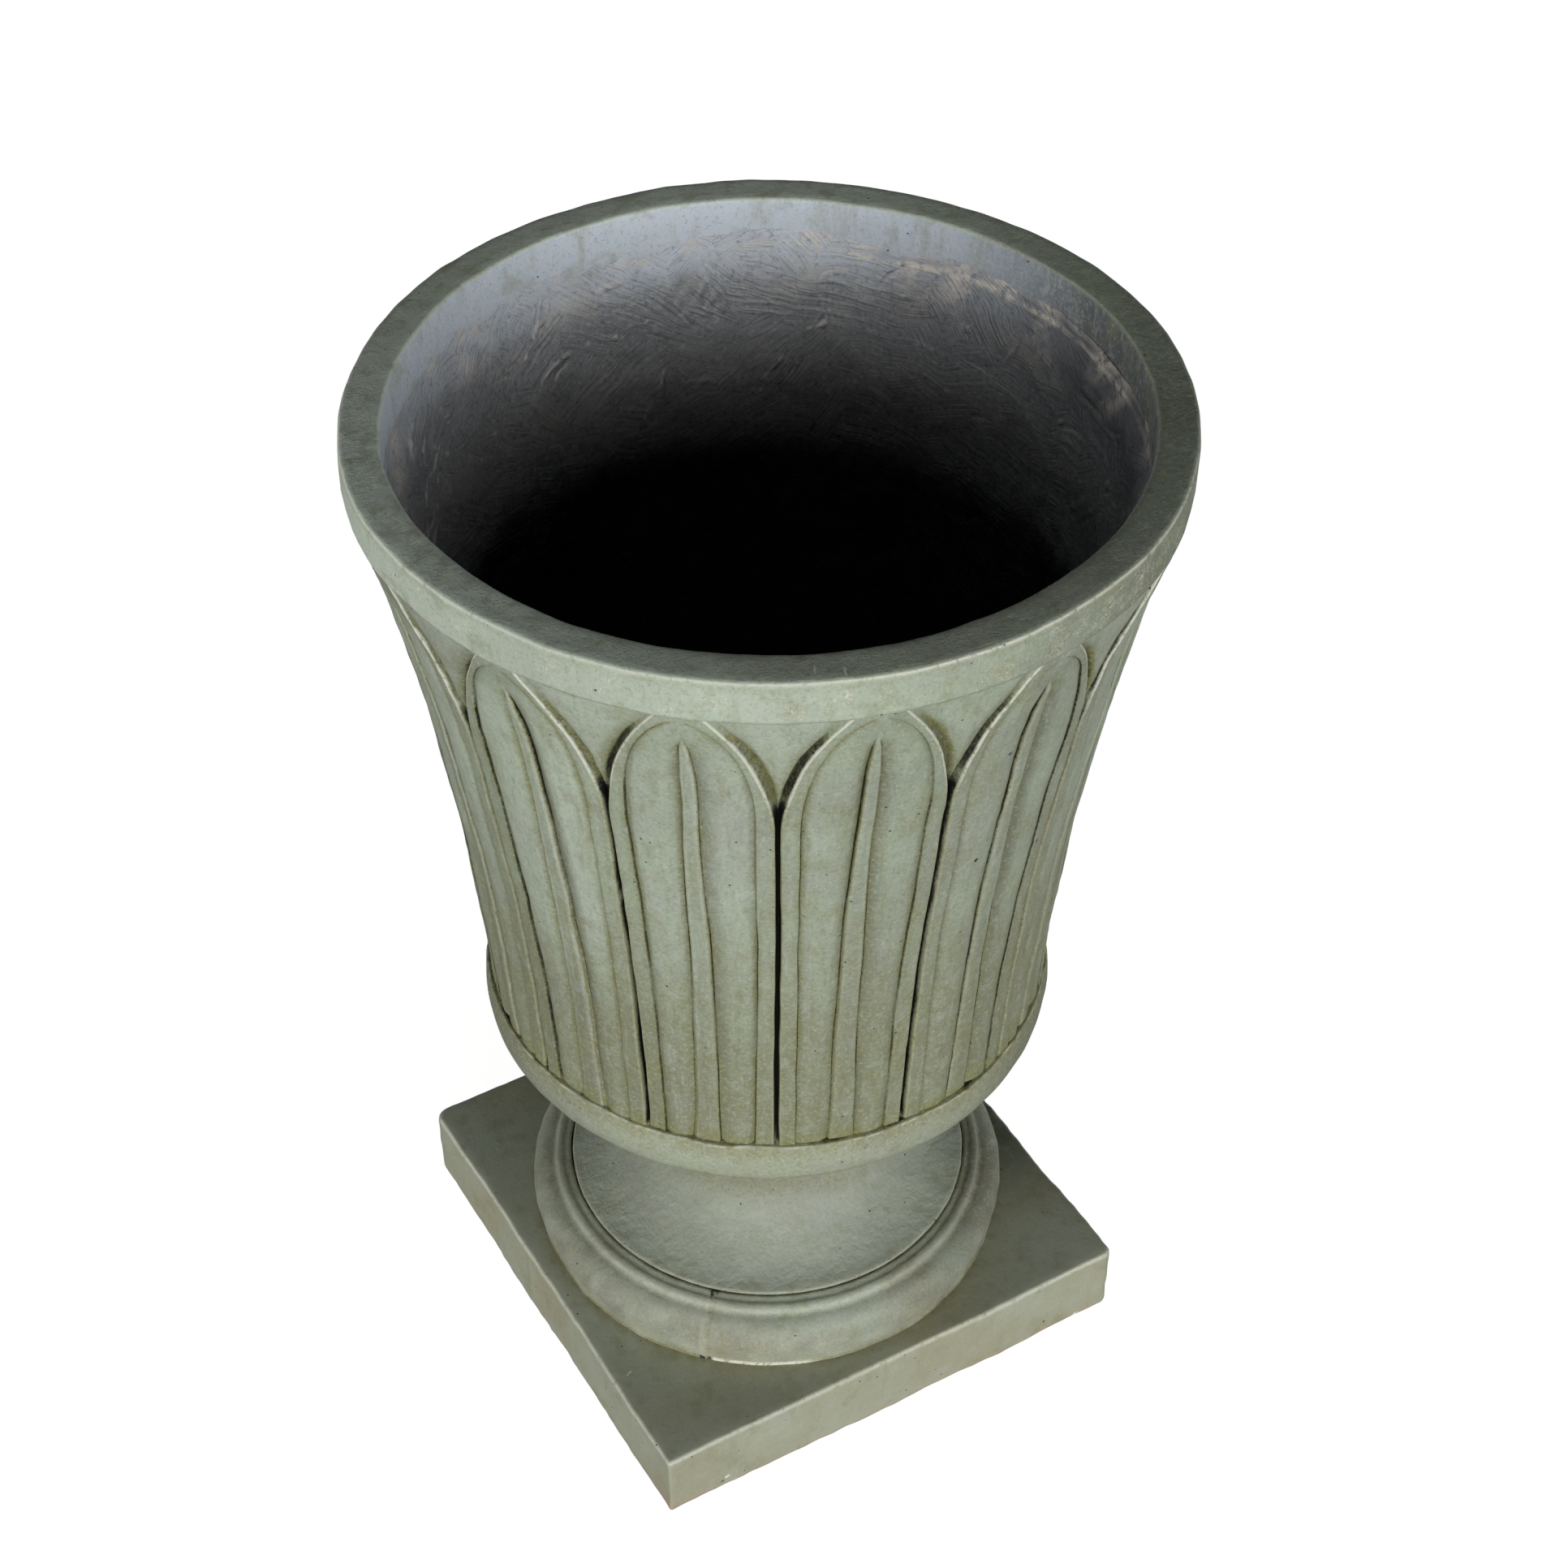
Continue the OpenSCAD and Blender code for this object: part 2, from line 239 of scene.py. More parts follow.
class Nodes:
    """Builds a tree of nodes. What is given to an input is a value or another node's output."""

    def __init__(self, tree):
        self.tree = tree

    def node(self, kind, inputs=(), **settings):
        node = self.tree.nodes.new("ShaderNode" + kind)
        for key, value in settings.items():
            setattr(node, key, value)
        self.put(node, inputs)
        return node

    def put(self, node, inputs):
        for key, value in dict(inputs).items():
            if isinstance(value, bpy.types.NodeSocket):
                self.tree.links.new(value, node.inputs[key])
            else:
                node.inputs[key].default_value = value

    def vector(self, operation, a, b=(0, 0, 0)):
        node = self.node("VectorMath", {0: a, "Scale" if operation == "SCALE" else 1: b}, operation=operation)
        return node.outputs["Value" if operation in ("LENGTH", "DOT_PRODUCT") else 0]

    def math(self, operation, *values, clamp=False):
        return self.node("Math", enumerate(values), operation=operation, use_clamp=clamp).outputs[0]

    def times(self, product, *factors):
        for factor in factors:
            product = self.math("MULTIPLY", product, factor)
        return product

    # Smooth step of a value from low to high
    def step(self, value, low, high):
        inputs = {"Value": value, "From Min": low, "From Max": high}
        return self.node("MapRange", inputs, interpolation_type="SMOOTHSTEP").outputs[0]


class Paint(Nodes):
    """Builds the nodes of one material, its colour in layers, with places and sizes in mm."""

    def __init__(self, name, colour):
        self.material = bpy.data.materials.new(name)
        self.material.use_nodes = True
        super().__init__(self.material.node_tree)
        self.tree.nodes.clear()
        self.shader = self.node("BsdfPrincipled")
        self.node("OutputMaterial", {0: self.shader.outputs[0]})
        self.mm = self.vector("MULTIPLY", self.node("TexCoord").outputs["Object"], (1 / MM,) * 3)
        self.colour = linear(colour)

    def mix(self, factor, a, b):
        return self.node("Mix", {"Factor": factor, 6: a, 7: b}, data_type="RGBA").outputs[2]

    # Lays a colour over what is there, as far as the product of the factors says
    def over(self, colour, *factors):
        self.colour = self.mix(self.times(*factors), self.colour, linear(colour))

    def noise(self, size, detail, roughness, at=None, distortion=0.0, output="Fac"):
        inputs = {"Vector": at or self.mm, "Scale": 1 / size, "Detail": detail, "Roughness": roughness,
                  "Distortion": distortion}
        return self.node("TexNoise", inputs).outputs[output]

    # Noise whose grains are drawn out along the height
    def streaks(self, across, along, roughness):
        at = self.vector("MULTIPLY", self.mm, (1 / across, 1 / across, 1 / along))
        return self.noise(1, 3, roughness, at)

    # How far a place is from the middle of its cell, and the cell's random colour
    def cells(self, size, at=None):
        outputs = self.node("TexVoronoi", {"Scale": 1 / size, "Vector": at or self.mm}).outputs
        return outputs["Distance"], outputs["Color"]

    def attribute(self, name):
        return self.node("Attribute", attribute_name=name).outputs["Fac"]

    # The place in mm, shifted at random
    def shifted(self, size, by):
        off = self.vector("SUBTRACT", self.noise(size, 2, 0.6, output="Color"), (0.5, 0.5, 0.5))
        return self.vector("ADD", self.mm, self.vector("SCALE", off, by))

    # 1 inside a ragged spot round a point in mm, drawn out by a factor along the height
    def spot(self, point, radius, tall=1.0):
        inputs = {"Vector": self.vector("SUBTRACT", self.shifted(2.2, 2.2 * radius), point),
                  "Angle": -math.atan2(point[1], point[0])}
        place = self.node("VectorRotate", inputs, rotation_type="Z_AXIS").outputs[0]
        away = self.vector("LENGTH", self.vector("MULTIPLY", place, (0.25, 1, 1 / tall)))
        return self.step(away, radius, 0.6 * radius)

    def bump(self, height, depth, **below):
        return self.node("Bump", {"Strength": 1.0, "Distance": depth * MM, "Height": height, **below}).outputs[0]

    # The roughness goes up from its lowest value by a spread, in patches of a size
    def finish(self, normal, lowest, spread, size, specular):
        roughness = self.math("MULTIPLY_ADD", self.noise(size, 3, 0.6), spread, lowest)
        self.put(self.shader, {"Base Color": self.colour, "Roughness": roughness, "Normal": normal,
                               "Specular IOR Level": specular})
        return self.material


# Sage paint on sandy cast stone, with an olive wash in the hollows and cream where edges are rubbed; it also
# paints light and shade from the pale mark, highlights on some edges with the cream, and shadow with the dirt in
# gaps and lines
def painted_stone(name, sage, grey, olive, grain, peel, chips=(), nicks=()):
    p = Paint(name, sage)
    pale, age, wash = (p.attribute(key) for key in ("pale", "age", "wash"))
    paler, darker = p.math("MAXIMUM", pale, 0.0, clamp=True), p.math("MULTIPLY", pale, -1.0, clamp=True)
    blotch, mottle, sand = p.noise(9, 4, 0.65), p.noise(16, 3, 0.6), p.noise(2.1, 3, 0.8)
    p.over(grey, p.step(p.noise(55, 3, 0.55), 0.36, 0.66))
    # The pale mark paints light and shade, with a little of the paint's own paler and darker tone: the pale and
    # dark colours here, and the lip's own pale and dark below
    p.over("pale", paler)
    p.over("dark", darker)
    body, p.colour = p.colour, linear("lip")
    p.over("lip pale", paler)
    p.over("lip dark", darker)
    p.over("lip streak", p.step(p.streaks(2.5, 9, 0.7), 0.5, 0.68), 0.25)
    p.colour = p.mix(p.attribute("lip"), body, p.colour)
    p.over("aged", age, p.math("MULTIPLY_ADD", p.step(blotch, 0.3, 0.65), 0.55, 0.45))
    p.over("mottle dark", p.step(mottle, 0.47, 0.3), 0.36)
    p.over("mottle pale", p.step(mottle, 0.54, 0.7), 0.2)
    # Only the leaves are aged, and only they have runs
    runs, on_leaves = p.streaks(3.2, 48, 0.65), p.step(age, 0.05, 0.2)
    p.over("run dark", p.step(runs, 0.53, 0.72), 0.32, on_leaves)
    p.over("run pale", p.step(runs, 0.45, 0.28), 0.24, on_leaves)
    loose = p.times(p.step(p.streaks(11, 55, 0.6), 0.5, 0.74), 0.34)
    settled = p.times(wash, p.step(blotch, 0.15, 0.6))
    p.over(olive, p.math("MAXIMUM", loose, settled, clamp=True))
    p.over("bloom", p.step(p.noise(5, 3, 0.6), 0.5, 0.72), 0.13)
    p.over("sand pale", p.step(sand, 0.52, 0.68), 0.34 * grain)
    p.over("sand dark", p.step(sand, 0.48, 0.32), 0.32 * grain)
    worm = p.math("ABSOLUTE", p.math("SUBTRACT", p.noise(3.4, 1, 0.5, distortion=1.6), 0.5))
    p.over("fleck", p.attribute("fleck"), p.step(worm, 0.03, 0.012), p.step(p.noise(13, 2, 0.6), 0.5, 0.62), 0.7)
    # Cream where edges are rubbed, partly painted highlights on arrises
    p.over("rubbed_highlight", p.attribute("wear"), p.step(p.noise(4, 4, 0.7), 0.3, 0.5))
    p.over("raw", p.attribute("raw"), p.step(p.noise(6, 4, 0.7), 0.4, 0.52))
    for chip in chips:
        p.over("chip", p.spot(*chip))
    for nick in nicks:
        p.over("nick", p.spot(*nick), 0.9)
    off_centre, cell = p.cells(8)
    pit = p.times(p.step(off_centre, 0.085, 0.05), p.step(cell, 0.68, 0.74))
    p.over("pit", pit, 0.9)
    p.over("pepper", p.step(p.noise(1.5, 2, 0.6), 0.6, 0.7), p.step(wash, 0.12, 0.5), 0.5)
    # Near black dirt with painted shadow in gaps, lines and crevices
    ragged = p.times(p.math("SUBTRACT", p.noise(2.2, 3, 0.7), 0.5), 0.9)
    p.over("dirt", p.step(p.math("ADD", p.attribute("dirt"), ragged), 0.15, 0.9))
    normal = p.bump(p.noise(5, 3, 0.6), peel, Normal=p.bump(p.noise(1.4, 3, 0.65), 0.3 * grain))
    return p.finish(p.bump(p.math("SUBTRACT", 1.0, pit), 0.5, Normal=normal), 0.55, 0.2, 7, 0.35)


# Blue-grey backing coat, brushed and trowelled, with cream patches towards its upper edge that are partly
# painted highlights, painted shade that darkens it downwards to black in the depth, and its relief painted as
# light and shade
def brushed_coat(name):
    p = Paint(name, "coat pale")
    height, stroke = p.attribute("height"), p.attribute("stroke")
    p.over("coat", p.step(p.noise(48, 3, 0.6), 0.35, 0.66))
    # Painted shade: greyer and darker below the upper edge
    p.over("coat grey", p.step(height, 604, 576))
    p.over("coat low", p.step(height, 568, 535))
    cloud = p.noise(22, 3, 0.65)
    p.over("cloud dark", p.step(cloud, 0.48, 0.3), 0.3)
    p.over("cloud pale", p.step(cloud, 0.54, 0.72), 0.26)
    # Painted light and shade of the relief: pale where it leans to the light, dark where it leans away
    p.over("stroke pale", p.step(stroke, 0.07, 0.36), 0.8, p.step(height, 482, 525))
    p.over("stroke dark", p.step(stroke, -0.1, -0.45), 0.8)
    # Brushed patches: each cell of a coarse, warped pattern has hairs of its own direction, in two layers
    unrolled = p.node("CombineXYZ", {0: p.attribute("arc"), 1: height}).outputs[0]
    bent = p.vector("ADD", unrolled, p.vector("SCALE", p.noise(30, 1, 0.5, output="Color"), 9))
    layers = []
    for size, shift, thick in ((80, 0, 2.7), (52, 300, 2.1)):
        cell = p.cells(size, p.vector("ADD", p.shifted(24, 50), (shift, 0, 0)))[1]
        inputs = {"Vector": bent, "Axis": (0, 0, 1), "Angle": p.times(p.math("SUBTRACT", cell, 0.5), 2.4)}
        spun = p.node("VectorRotate", inputs, rotation_type="AXIS_ANGLE").outputs[0]
        fibres = p.vector("MULTIPLY", spun, (1 / 60, 1 / thick, 0))
        lower = p.noise(1, 3, 0.6, p.vector("ADD", fibres, (0, 0.3, 0)))
        layers.append(p.math("ADD", p.math("SUBTRACT", p.noise(1, 3, 0.6, fibres), lower), 0.5))
    hair = p.mix(p.step(p.noise(20, 2, 0.6), 0.4, 0.6), *layers)
    p.over("hair pale", p.step(hair, 0.51, 0.62), 0.2)
    p.over("hair dark", p.step(hair, 0.49, 0.38), 0.24)
    grit = p.noise(2.6, 3, 0.7)
    p.over("grit pale", p.step(grit, 0.54, 0.7), 0.5)
    p.over("grit dark", p.step(grit, 0.46, 0.3), 0.5)
    # Painted shade for the dark of the bowl's depth: it starts above the floor, so that the floor can be seen
    # from above
    wall = p.step(height, 225, 285)
    p.over("depth", p.step(height, 512, 476), wall)
    p.over("depths", p.step(height, 500, 470), wall)
    p.over("shade", p.attribute("shade"))
    # Cream at the edge and in patches, the patches partly painted highlights
    p.over("cream_and_highlight", p.attribute("wash"), p.step(p.noise(6, 4, 0.75), 0.34, 0.56), 0.85)
    return p.finish(p.bump(p.noise(5, 4, 0.65), 0.9, Normal=p.bump(hair, 1.3)), 0.2, 0.25, 9, 0.8)


def plain(name, dark, light, size, depth, roughness, specular):
    p = Paint(name, dark)
    p.over(light, p.step(p.noise(size, 4, 0.65), 0.3, 0.7))
    return p.finish(p.bump(p.noise(size / 3, 3, 0.6), depth), roughness, 0.15, size, specular)


# Places in mm, radius and how many times as tall as wide
RIM_CHIPS = (((-80.2, -181.7, URN_H), 0.9), ((-69.2, -189.6, URN_H), 1.1))
LEAF_NICKS = (((22.3, -190.4, 541.5), 1.5), ((62.2, -163.4, 443.5), 1.1, 2),
              ((15.8, -177.3, 463.5), 1.3, 1.6), ((-37.9, -182.5, 512.5), 0.8), ((-136.2, -124.9, 504), 0.8))
RING_NICKS = (((-84.6, -83.6, 86), 1.6), ((-100.5, -97.2, PLINTH_H + 1), 2.0))
PLINTH_CHIPS = (((129.6, -152.5, 1.5), 1.8), ((-115, -152.5, 7.9), 1.5), ((-142.2, -85.4, PLINTH_H), 0.8))
PLINTH_NICKS = (((-118.2, -152.5, 5.4), 1.0), ((104.5, -152.5, 11.2), 1.0))
bowl_paint = painted_stone("bowl_paint", (176, 189, 168), (167, 174, 160), (142, 142, 94), 1.0, 0.42,
                           RIM_CHIPS, LEAF_NICKS)
stem_paint = painted_stone("stem_paint", (182, 192, 176), (172, 178, 168), (158, 156, 124), 0.5, 0.85)
ring_paint = painted_stone("ring_paint", (178, 188, 172), (164, 164, 148), (150, 146, 104), 0.8, 0.5,
                           nicks=RING_NICKS)
plinth_paint = painted_stone("plinth_paint", (184, 189, 168), (178, 177, 152), (150, 144, 108), 0.3, 0.15,
                             PLINTH_CHIPS, PLINTH_NICKS)
lining_coat = brushed_coat("lining_coat")
mortar = plain("mortar_joint", (150, 147, 134), (182, 178, 164), 6, 0.4, 0.85, 0.3)
rubber = plain("plug_rubber", (26, 27, 28), (44, 45, 46), 12, 0.06, 0.5, 0.4)

# ---- bowl

# Painted light and shade, side by side round the bowl: how much paler or darker the band, the rim's top, the
# lip, the bead, the leaves and the lower leaves are painted, and how strong the painted highlights on the ribs'
# arrises and the lobes' crests are
BAND_LIGHT_AND_SHADE = (0.3, 0.3, 0.5, 1.0, 0.8, 0.4, 0.5, 0.0, -0.62, -0.7, -0.2, 0.2, 0.3)
RIM_LIGHT_AND_SHADE = (0.7, 0.7, 0.45, 0.9, 0.95, 0.65, 0.25, -0.05, -0.4, -0.6, -0.2, 0.3, 0.7)
LIP_LIGHT_AND_SHADE = (0.95, 1.0, 0.3, 0.5, 0.3, 0, 0, 0, -0.7, -1.0, -0.95, 0.05, 0.95)
BEAD_LIGHT_AND_SHADE = (0, 0, -0.2, -0.9, -0.75, -0.1, -0.06, -0.1, -0.9, -1.0, -0.3, 0, 0)
LEAF_LIGHT_AND_SHADE = (0, 0, -0.1, -0.9, -0.48, -0.08, -0.08, -0.36, -0.32, 0.85, 0.1, 0, 0)
LOW_LEAF_SHADE = (-0.1, -0.1, -0.1, -0.2, -0.3, -0.72, -0.3, -0.1, -0.2, -0.1, -0.1, -0.1, -0.1)
ARRIS_HIGHLIGHT = (0.3, 0.3, 0.3, 0.7, 0.8, 0.5, 0.14, 0.2, 0.35, 0.3, 0.3, 0.3, 0.3)
CREST_HIGHLIGHT = (0.1, 0.1, 0.1, 0.3, 0.6, 0.4, 0.05, 0.15, 0.3, 0.2, 0.1, 0.1, 0.1)
# How dark the valleys are painted (painted shade), how dark the lines are, partly dirt and partly painted
# shadow, how washed the paint beside them, and how rubbed the rim is, with a painted highlight on its arris
VALLEY_SHADE = (0.5, 0.5, 0.5, 0.8, 1.1, 0.95, 0.42, 0.8, 1.1, 0.8, 0.6, 0.5, 0.5)
LINE_SHADOW = (0, 0, 0.5, 1, 1, 0.4, 0, 0.4, 1, 1, 0.5, 0, 0)
FRINGE = (1, 1, 1, 1, 1, 1, 1, 0.8, 0.35, 0.25, 0.6, 1, 1)
RIM_WEAR_AND_HIGHLIGHT = (0.5, 0.4, 0.5, 0.9, 0.9, 0.5, 0.6, 0.95, 0.7, 0.25, 0.3, 0.4, 0.5)

leaf_arc = arc_centre((LEAF_TOP_R, BAND_Z), (LEAF_FOOT_R, LEAF_FOOT_Z), FLARE_R)
bead_edge_r = BEAD_R - BEAD_ARC_R + math.sqrt(BEAD_ARC_R**2 - (BEAD_H / 2) ** 2)
under_arc = arc_centre((BOSS_R, BOWL_Z + BOSS_H), (bead_edge_r, BEAD_Z), UNDER_R)


def face_r(z, inset=0):
    return leaf_arc[0] - np.sqrt((FLARE_R + inset) ** 2 - (z - leaf_arc[1]) ** 2)


# The cast rim isn't quite round: how far it stands out at an angle
def out_of_round(angle, z):
    a = angle - VIEW_AZIMUTH
    return (1.6 * np.cos(a) + 1.0 * np.cos(2 * a)) * ease(300, URN_H, z)


leaf_sway, leaf_drift, crumble = Waves(11, 28, 90), Waves(12, 120, 320), Waves(15, 3.5, 11, 36)
skin_fine, skin_broad = Waves(13, 10, 34, 40), Waves(14, 60, 170)
LEAF_STRIDE, SIDE_STRIDE = 410.0, 170.0  # how far leaves and their sides are apart in this noise
ARCH_Z = 556  # the gap between two leaves is fully open from here up
TIP_Z = 604
RIB_Z = (263, 280, 340, 440, 520, 560, 580, 590)
RIB_HALF_W = (6.5, 5.8, 5.0, 4.8, 3.3, 3.0, 1.7, 0)

# Heights of the rows that carry the leaves
leaf_z = np.concatenate([
    [263.7, 264.6, 266, 268, 271],
    np.arange(276, SPRING_Z, 7),
    np.arange(SPRING_Z, 560, 4),
    np.arange(560, 591, 2.5),
    np.arange(591.5, BAND_Z, 1.35),
])


def leaf_middle(leaf):
    return LEAF_TURN + (leaf + 1) * 2 * HALF_PITCH


def leaf_place(leaf, side):
    return np.stack(np.broadcast_arrays(leaf * LEAF_STRIDE, side * SIDE_STRIDE, leaf_z), axis=-1)


# On one side of a leaf, row by row: half widths to the gap's middle, the leaf's edge, the line inside its border
# and the rib's edge, and how far the rib's own middle is off
def leaf_edges(leaf, side):
    at, z = leaf_place(leaf, side), leaf_z
    half = face_r(z) * math.sin(HALF_PITCH)
    spring_half = face_r(SPRING_Z) * math.sin(HALF_PITCH) - LEAF_GAP / 2
    drop = spring_half - TIP_HALF_W
    rise = BAND_Z - SPRING_Z
    arch_r = (drop * drop + rise * rise) / (2 * drop)
    up = np.clip(z - SPRING_Z, 0, rise)
    edge = np.minimum(half - LEAF_GAP / 2, spring_half - arch_r + np.sqrt(arch_r**2 - up**2))
    edge = edge + (0.16 * leaf_sway(at) + 0.22 * leaf_drift(at)) * (1 + 0.8 * ease(SPRING_Z, BAND_Z, z))
    edge = np.minimum(edge, half - 0.7)
    s = np.clip(up / (rise - 3), 0, 1)
    line = (half - LEAF_GAP / 2 - BORDER_W) * (1 - s**2.2) ** 0.625
    line = line + (0.18 * leaf_sway(at + 900) + 0.35 * leaf_drift(at + 900)) * (1 - s)
    rib = np.interp(z, RIB_Z, RIB_HALF_W)
    rib = np.maximum(rib + (0.12 * leaf_sway(at + 1800) + 0.3 * leaf_drift(at + 1800)) * (rib > 1), 0)
    middle = side * 0.8 * leaf_drift(leaf_place(leaf, 0)) * ease(600, 540, z)
    return [a[:, None] for a in (half, edge, line, rib, middle)]


# Points of one side of a leaf: distance from its middle, depth, and how washed, dirty (with painted shadow),
# rubbed (with painted highlights) and pale they are, the paleness being painted light and shade
def leaf_side(leaf, side):
    right = side > 0
    at = leaf_place(leaf, side) + (77, 0, 0)
    sway, drift, z = leaf_sway(at)[:, None], leaf_drift(at)[:, None], leaf_z[:, None]
    half, edge, line, rib, middle = leaf_edges(leaf, side)
    flank = 7.2 + 1.2 * math.sin(leaf * 3.7 + 2 * side)
    soft = 0.55 + 0.45 * math.sin(leaf * 1.9 + 1.3 * side)
    rib_wall = 0.5 + 1.5 * soft * ease(520, 300, z)
    wall = np.clip(0.5 + 0.55 * (half - edge - 1.0), 0.7, 4.4 if right else 3.0)
    wall = wall * (1 - 0.35 * ease(582, TIP_Z, z))

    # Columns of points: on the rib, its wall, the lobe, the line, the border, the gap's wall and its ground
    rib_edge, line_at, base = middle + np.maximum(rib, 0.45), np.maximum(line, 3.2), edge + wall
    columns = []
    for start, end, shares in (
            (middle, rib_edge, (0, 0.4, 0.8, 1)),
            (rib_edge, rib_edge + rib_wall, (0.35, 0.75, 1.1)),
            (rib_edge + rib_wall + 0.8, line_at - 1, (0, 0.12, 0.25, 0.4, 0.56, 0.72, 0.87, 1)),
            (line_at, line_at + 1, (-0.45, -0.12, 0.12, 0.5)),
            (line_at, edge, (0.45,)),
            (edge, edge + 1, (-1.3, -0.5, -0.05)),
            (edge, base, (0.18, 0.5, 0.8, 1)),
            (base, half, (0.12, 0.28, 0.46, 0.7, 1))):
        columns += [start + (end - start) * share for share in shares]
    x = np.concatenate(columns, axis=1)
    x = np.minimum(np.maximum.accumulate(x + np.arange(x.shape[1]) * 1e-3, axis=1), half)

    # How far a point is past the rib's edge, inside the line, past the leaf's edge, and on the gap's ground
    u, v, e = x - middle - rib, line - x, x - edge
    past, ground_x = np.maximum(u, 0), e - wall
    arch, low = ease(SPRING_Z, ARCH_Z, z), 1 - ease(264, 275, z)
    arch_wall = arch * ease(TIP_Z, 585, z)
    has_rib, has_panel = ease(0.2, 1.6, rib), ease(0.5, 5, line)
    room = ease(3, 15, line - rib) * ease(603, 565, z)
    valley, verge = 1 - ease(-0.5, flank, past), 1 - ease(-0.5, 5.5, v)
    crumbs = crumble(np.stack(np.broadcast_arrays(leaf * LEAF_STRIDE, x, z), axis=-1)) * arch_wall

    # Depth of the lobe, of the panel with its rib, of the leaf with its border, and with the gap beside it
    deep = (2.3 + 0.4 * bell(z, 548, 42) + 0.5 * math.sin(leaf * 2.3 - side) + 0.35 * drift) * room
    fall = (1.5 + 0.5 * math.sin(leaf * 4.1 + side) + 0.25 * drift) * room
    lobe = -0.1 - deep * valley - fall * verge
    lobe = lobe - 0.35 * bell(v, 0.35, 0.55) - 0.4 * has_rib * bell(u, rib_wall, 0.6)
    rib_top = -0.15 - 0.5 * np.clip(np.abs(x - middle) / np.maximum(rib, 0.1), 0, 1) ** 2
    panel = lobe + has_rib * (1 - ease(0, 1, u / rib_wall)) * (rib_top - lobe)
    border = -0.18 * bell(e, -4.2, 2.2)
    face = border + has_panel * ease(-0.15, 0.45, v) * (panel - border)
    face = face - 0.5 * np.clip(1 + e / 0.9, 0, 1) ** 2
    gap = -7.2 + 2.2 * arch + 4.6 * low + 1.6 * ease(575, 603, z)
    ground = gap - arch * (gap + 1.5) * ease(-0.6, 2.2, ground_x) + 0.7 * arch * ease(3, 12, ground_x)
    ground = ground + (0.35 if right else 0.2) * arch * sway
    depth = face + np.clip(e / wall, 0, 1) ** (1 - 0.25 * arch) * (ground - face)
    depth = depth + (0.32 if right else 0.1) * crumbs * ease(-0.3, 0.4, e) * ease(3.5, 0.5, ground_x)
    depth = depth + 1.9 * ease(560, 605, z)

    # Dirt and painted shadow in narrow gaps, on the arches' walls and at their feet and in the two lines, the
    # lines darker on leaves lit from the side; dirt at the leaf's foot
    here = leaf_middle(leaf)
    narrow = 1 - ease(1.8, 5.5, half - edge)
    vary = np.clip(0.6 + 0.45 * sway + 0.3 * math.sin(leaf * 5.1 + side * 0.8), 0, 1)
    start = 0.25 * vary * ease(SPRING_Z, 480, z)
    steep = 0.7 - 0.3 * ease(SPRING_Z, 560, z) if right else 0.9 - 0.22 * ease(SPRING_Z, 590, z)
    lines = has_panel * bell(v, 0.3, 0.28) + has_rib * bell(u, rib_wall, 0.32)
    dirt = ease(start, start + 0.35, e) * narrow * (0.45 + 0.55 * ease(264, 272 + 3 * sway, z))
    for more in ((0.4 + 0.25 * vary) * bell(ground_x, 0.3, 1.1) * arch_wall,
                 steep * arch_wall * ease(0.1, 0.6, e) * ease(1.6, 0.3, ground_x),
                 (0.5 + 0.4 * vary + 0.35 * around(here, LINE_SHADOW)) * lines,
                 0.75 * bell(z, LEAF_FOOT_Z, 2.2) * np.clip(0.5 + 0.6 * sway + 0.4 * drift, 0, 1)):
        dirt = np.maximum(dirt, more)

    # Olive wash beside the lines and the rib, on the arches' walls and ground, at the foot and along the gaps
    wash = (0.3 + 0.7 * vary) * around(here, FRINGE) * (
        has_rib * bell(u, rib_wall, 1.2) + has_panel * bell(v, 0.7, 1.6))
    wash = wash + 0.28 * has_rib * bell(past, 0, 4.0) * (0.5 + 0.9 * bell(z, 545, 60)) * ease(-0.8, 0.2, u)
    wash = wash + (0.5 + 0.5 * vary) * arch_wall * ease(0.3, 1.2, e) * ease(3.0, 0.5, ground_x)
    wash = wash + 0.05 * arch * ease(1, 4, e) + 0.95 * bell(z, 262, 9) + 0.8 * narrow * bell(e, 0, 1.2)
    wash = wash + arch_wall * (0.7 * bell(ground_x, 0.6, 2.2) if right else 0.35 * bell(ground_x, 0, 7))

    # Painted light and shade: pale crests and highlit arrises, dark valleys in painted shade, dark arch walls on
    # the right, and painted light and shadow on the ground beside the arches
    on_leaf = ease(0.3, -0.3, e)
    hollow_shade = around(here, VALLEY_SHADE) if right else 0.3
    wide = 1 - ease(0.5, flank + 4, past) if right else valley
    arris = around(here, ARRIS_HIGHLIGHT)
    pale = 0.12 * on_leaf - hollow_shade * on_leaf * has_rib * wide * ease(-0.3, 0.3, u) * ease(600, 560, z)
    pale = pale - (0.22 + 0.2 * ease(520, 400, z)) * on_leaf * has_panel * verge * ease(-0.3, 0.3, v)
    pale = pale + arris * on_leaf * has_rib * bell(u, -0.9, 0.9)
    pale = pale + around(here, CREST_HIGHLIGHT) * on_leaf * has_panel * room * (1 - wide) * (1 - verge)
    if right:
        pale = pale - (0.8 + 0.5 * crumbs) * arch_wall * ease(0.2, 0.9, e) * ease(1.8, 0, ground_x)
        wash = wash + 0.45 * np.clip(crumbs, 0, 1) * ease(0, 0.6, e) * ease(3.0, 0.5, ground_x)
    pale = pale + arch * ease(0.5, 3.5, ground_x) * (0.5 - (0.3 if right else 0.75) * bell(ground_x, 0, 6))
    # Rubbed leaf edges, and the rib's arris with a painted highlight, stronger on leaves lit from the side
    wear = bell(e, -0.25, 0.45) * (0.2 + 0.8 * arch) + 0.6 * arris * has_rib * bell(u, -0.3, 0.5)
    return x, depth, wash, dirt, wear, pale


